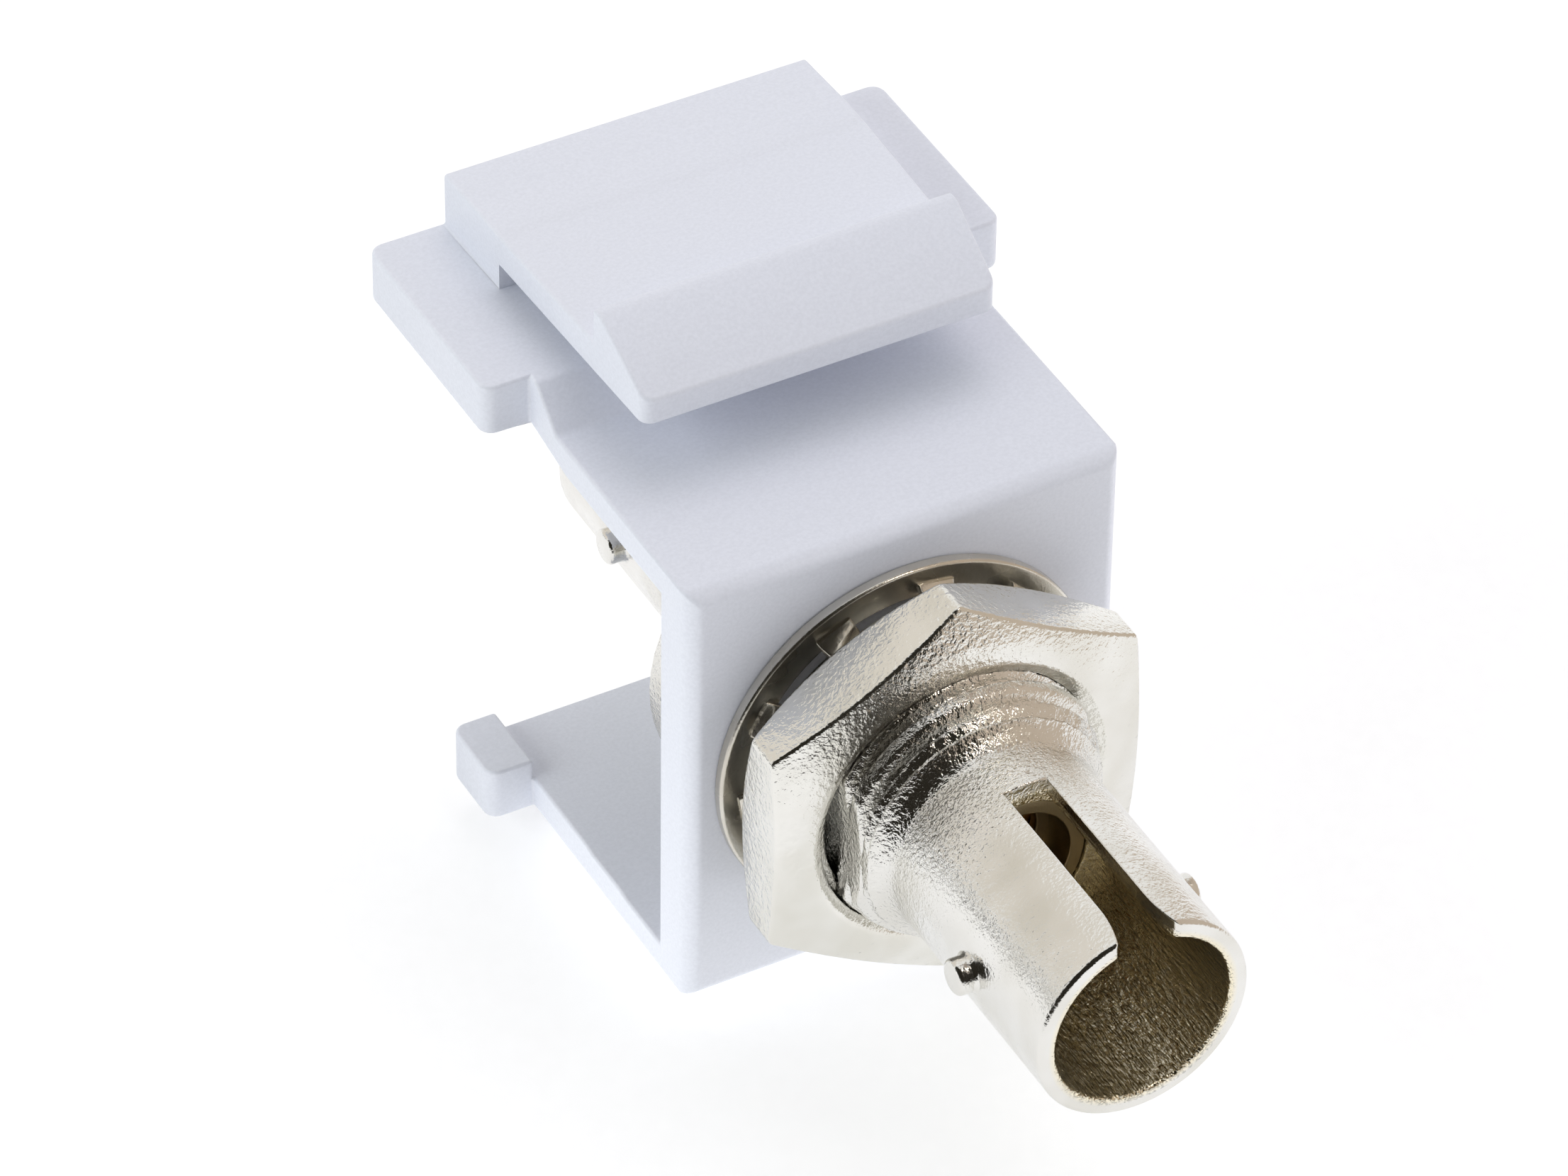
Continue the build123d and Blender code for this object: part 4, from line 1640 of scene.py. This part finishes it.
world = bpy.data.worlds.new("studio")
bpy.context.scene.world = world
world.use_nodes = True
tree = world.node_tree
tree.nodes.clear()
way = add_node(tree, "TexCoord").outputs["Generated"]
dark_way = direction(*DARK_SIDE)
towards = add_node(tree, "VectorMath", operation="DOT_PRODUCT", _0=way, _1=dark_way)
fill = add_node(tree, "MapRange", Value=towards, **span(*DARK_EDGE, FILL_BRIGHT, FILL_DARK))
strength = add_node(tree, "Mix", Factor=seen_directly(tree), A=fill, B=1.0)
sky = add_node(tree, "Background", Color=linear("#FFFFFF"), Strength=strength)
add_node(tree, "OutputWorld", Surface=sky)
print("darkest fill towards:", [round(part, 2) for part in dark_way])

# %% [markdown]
# Three large square lamps give the soft light, and a small one that lies on the floor in front
# shines up, as a lit table does. They are lamps and not bright sheets, because a lamp's power
# can be set without changing what the metal mirrors.

# %% Lamps
LAMP_DISTANCE = 0.5
LAMP_SIZE = 0.35
TABLE_LAMP_SIZE = 0.09
TABLE_LAMP_PLACE = (-0.008, -0.035)


def square_lamp(name, size, power, tint, place, turned_to):
    """A square area lamp that neither the camera nor a reflection sees."""
    data = bpy.data.lights.new(name, "AREA")
    data.size = size
    data.energy = power
    data.color = linear(tint)[:3]
    lamp = scene_object(name, data)
    lamp.matrix_world = Matrix.Translation(place) @ turned_to
    lamp.visible_camera = False
    lamp.visible_glossy = False


def soft_lamp(name, azimuth, elevation, power, tint):
    """A large square lamp that faces the object from a direction."""
    way = direction(azimuth, elevation)
    turned_to = way.to_track_quat("Z", "Y").to_matrix().to_4x4()
    square_lamp(name, LAMP_SIZE, power, tint, way * LAMP_DISTANCE, turned_to)


soft_lamp("key_left", azimuth=-90, elevation=26, power=1.1, tint="#FBFFFF")
soft_lamp("top_rear_right", azimuth=140, elevation=66, power=0.46, tint="#FFF7FF")
soft_lamp("front_right", azimuth=50, elevation=12, power=0.54, tint="#FFFBFF")
square_lamp(
    "table_front", TABLE_LAMP_SIZE, power=0.019, tint="#FFFFFF",
    place=(*TABLE_LAMP_PLACE, floor_height + FLOOR_GAP / 2),
    turned_to=Matrix.Rotation(math.pi, 4, "X"),
)
print("lamps, W:", {light.name: round(light.energy, 3) for light in bpy.data.lights})

# %% [markdown]
# Polished metal shows what stands around it, and among white walls nickel looks like white
# paint. So there are also five cards that only reflections see, each a part of a sphere round
# the object. Their tints are what the plating mirrors in the photograph: dark ones towards the
# camera and low behind, where the room was dark, and warm greys beside and above. One small
# bright card is the image of a bare lamp, and gives the sparkle.

# %% Cards
CARD_DISTANCE = 0.07
LAMP_IMAGE_DISTANCE = 0.068
LAMP_IMAGE_STRENGTH = 18
CARD_STEPS = 12


def reflected_card(name, middle, half_size, tint, distance=CARD_DISTANCE, strength=1.0):
    """A card that only reflections see: part of a sphere, on a grid of azimuth and elevation.

    Its middle and half its size are both (azimuth, elevation) in degrees, seen from the object.
    """
    share = np.linspace(-1, 1, CARD_STEPS)
    turn = np.radians(middle[0] + half_size[0] * share)
    rise = np.radians(middle[1] + half_size[1] * share)[:, None]
    points = distance * np.stack(
        (np.sin(turn) * np.cos(rise), -np.cos(turn) * np.cos(rise), np.sin(rise) + 0 * turn),
        axis=-1,
    )
    faces = grid_quads(CARD_STEPS, CARD_STEPS)[:-1, :-1].reshape(-1, 4)
    mesh = bpy.data.meshes.new(name)
    mesh.from_pydata(points.reshape(-1, 3), [], faces)
    card = scene_object(name, mesh)
    card.visible_camera = False
    card.visible_diffuse = False
    card.visible_shadow = False
    card.visible_transmission = False
    material, tree = new_material(name)
    shine = add_node(tree, "Emission", Color=linear(tint), Strength=strength)
    add_node(tree, "OutputMaterial", Surface=shine)
    card.data.materials.append(material)


reflected_card("dark_card_front", (-45, 33), (61, 47), "#28251F")
reflected_card("warm_card_right", (68, 22), (51, 32), "#CBBCAC")
reflected_card("warm_card_high", (72, 67), (56, 13), "#A19488")
reflected_card("grey_card_above", (-160, 36), (44, 26), "#E9E3DA")
reflected_card("dark_card_left", (-130, 0.5), (10, 3.5), "#3A3833")
reflected_card(
    "lamp_image", (30, 57), (5, 5), "#FFFBF4", LAMP_IMAGE_DISTANCE, LAMP_IMAGE_STRENGTH
)
print("cards at, mm:", CARD_DISTANCE / MM, LAMP_IMAGE_DISTANCE / MM)

# %% [markdown]
# ## View
#
# The view transform is plain sRGB, so that a colour shows as it is written.

# %% Finish
bpy.context.scene.view_settings.view_transform = "Standard"
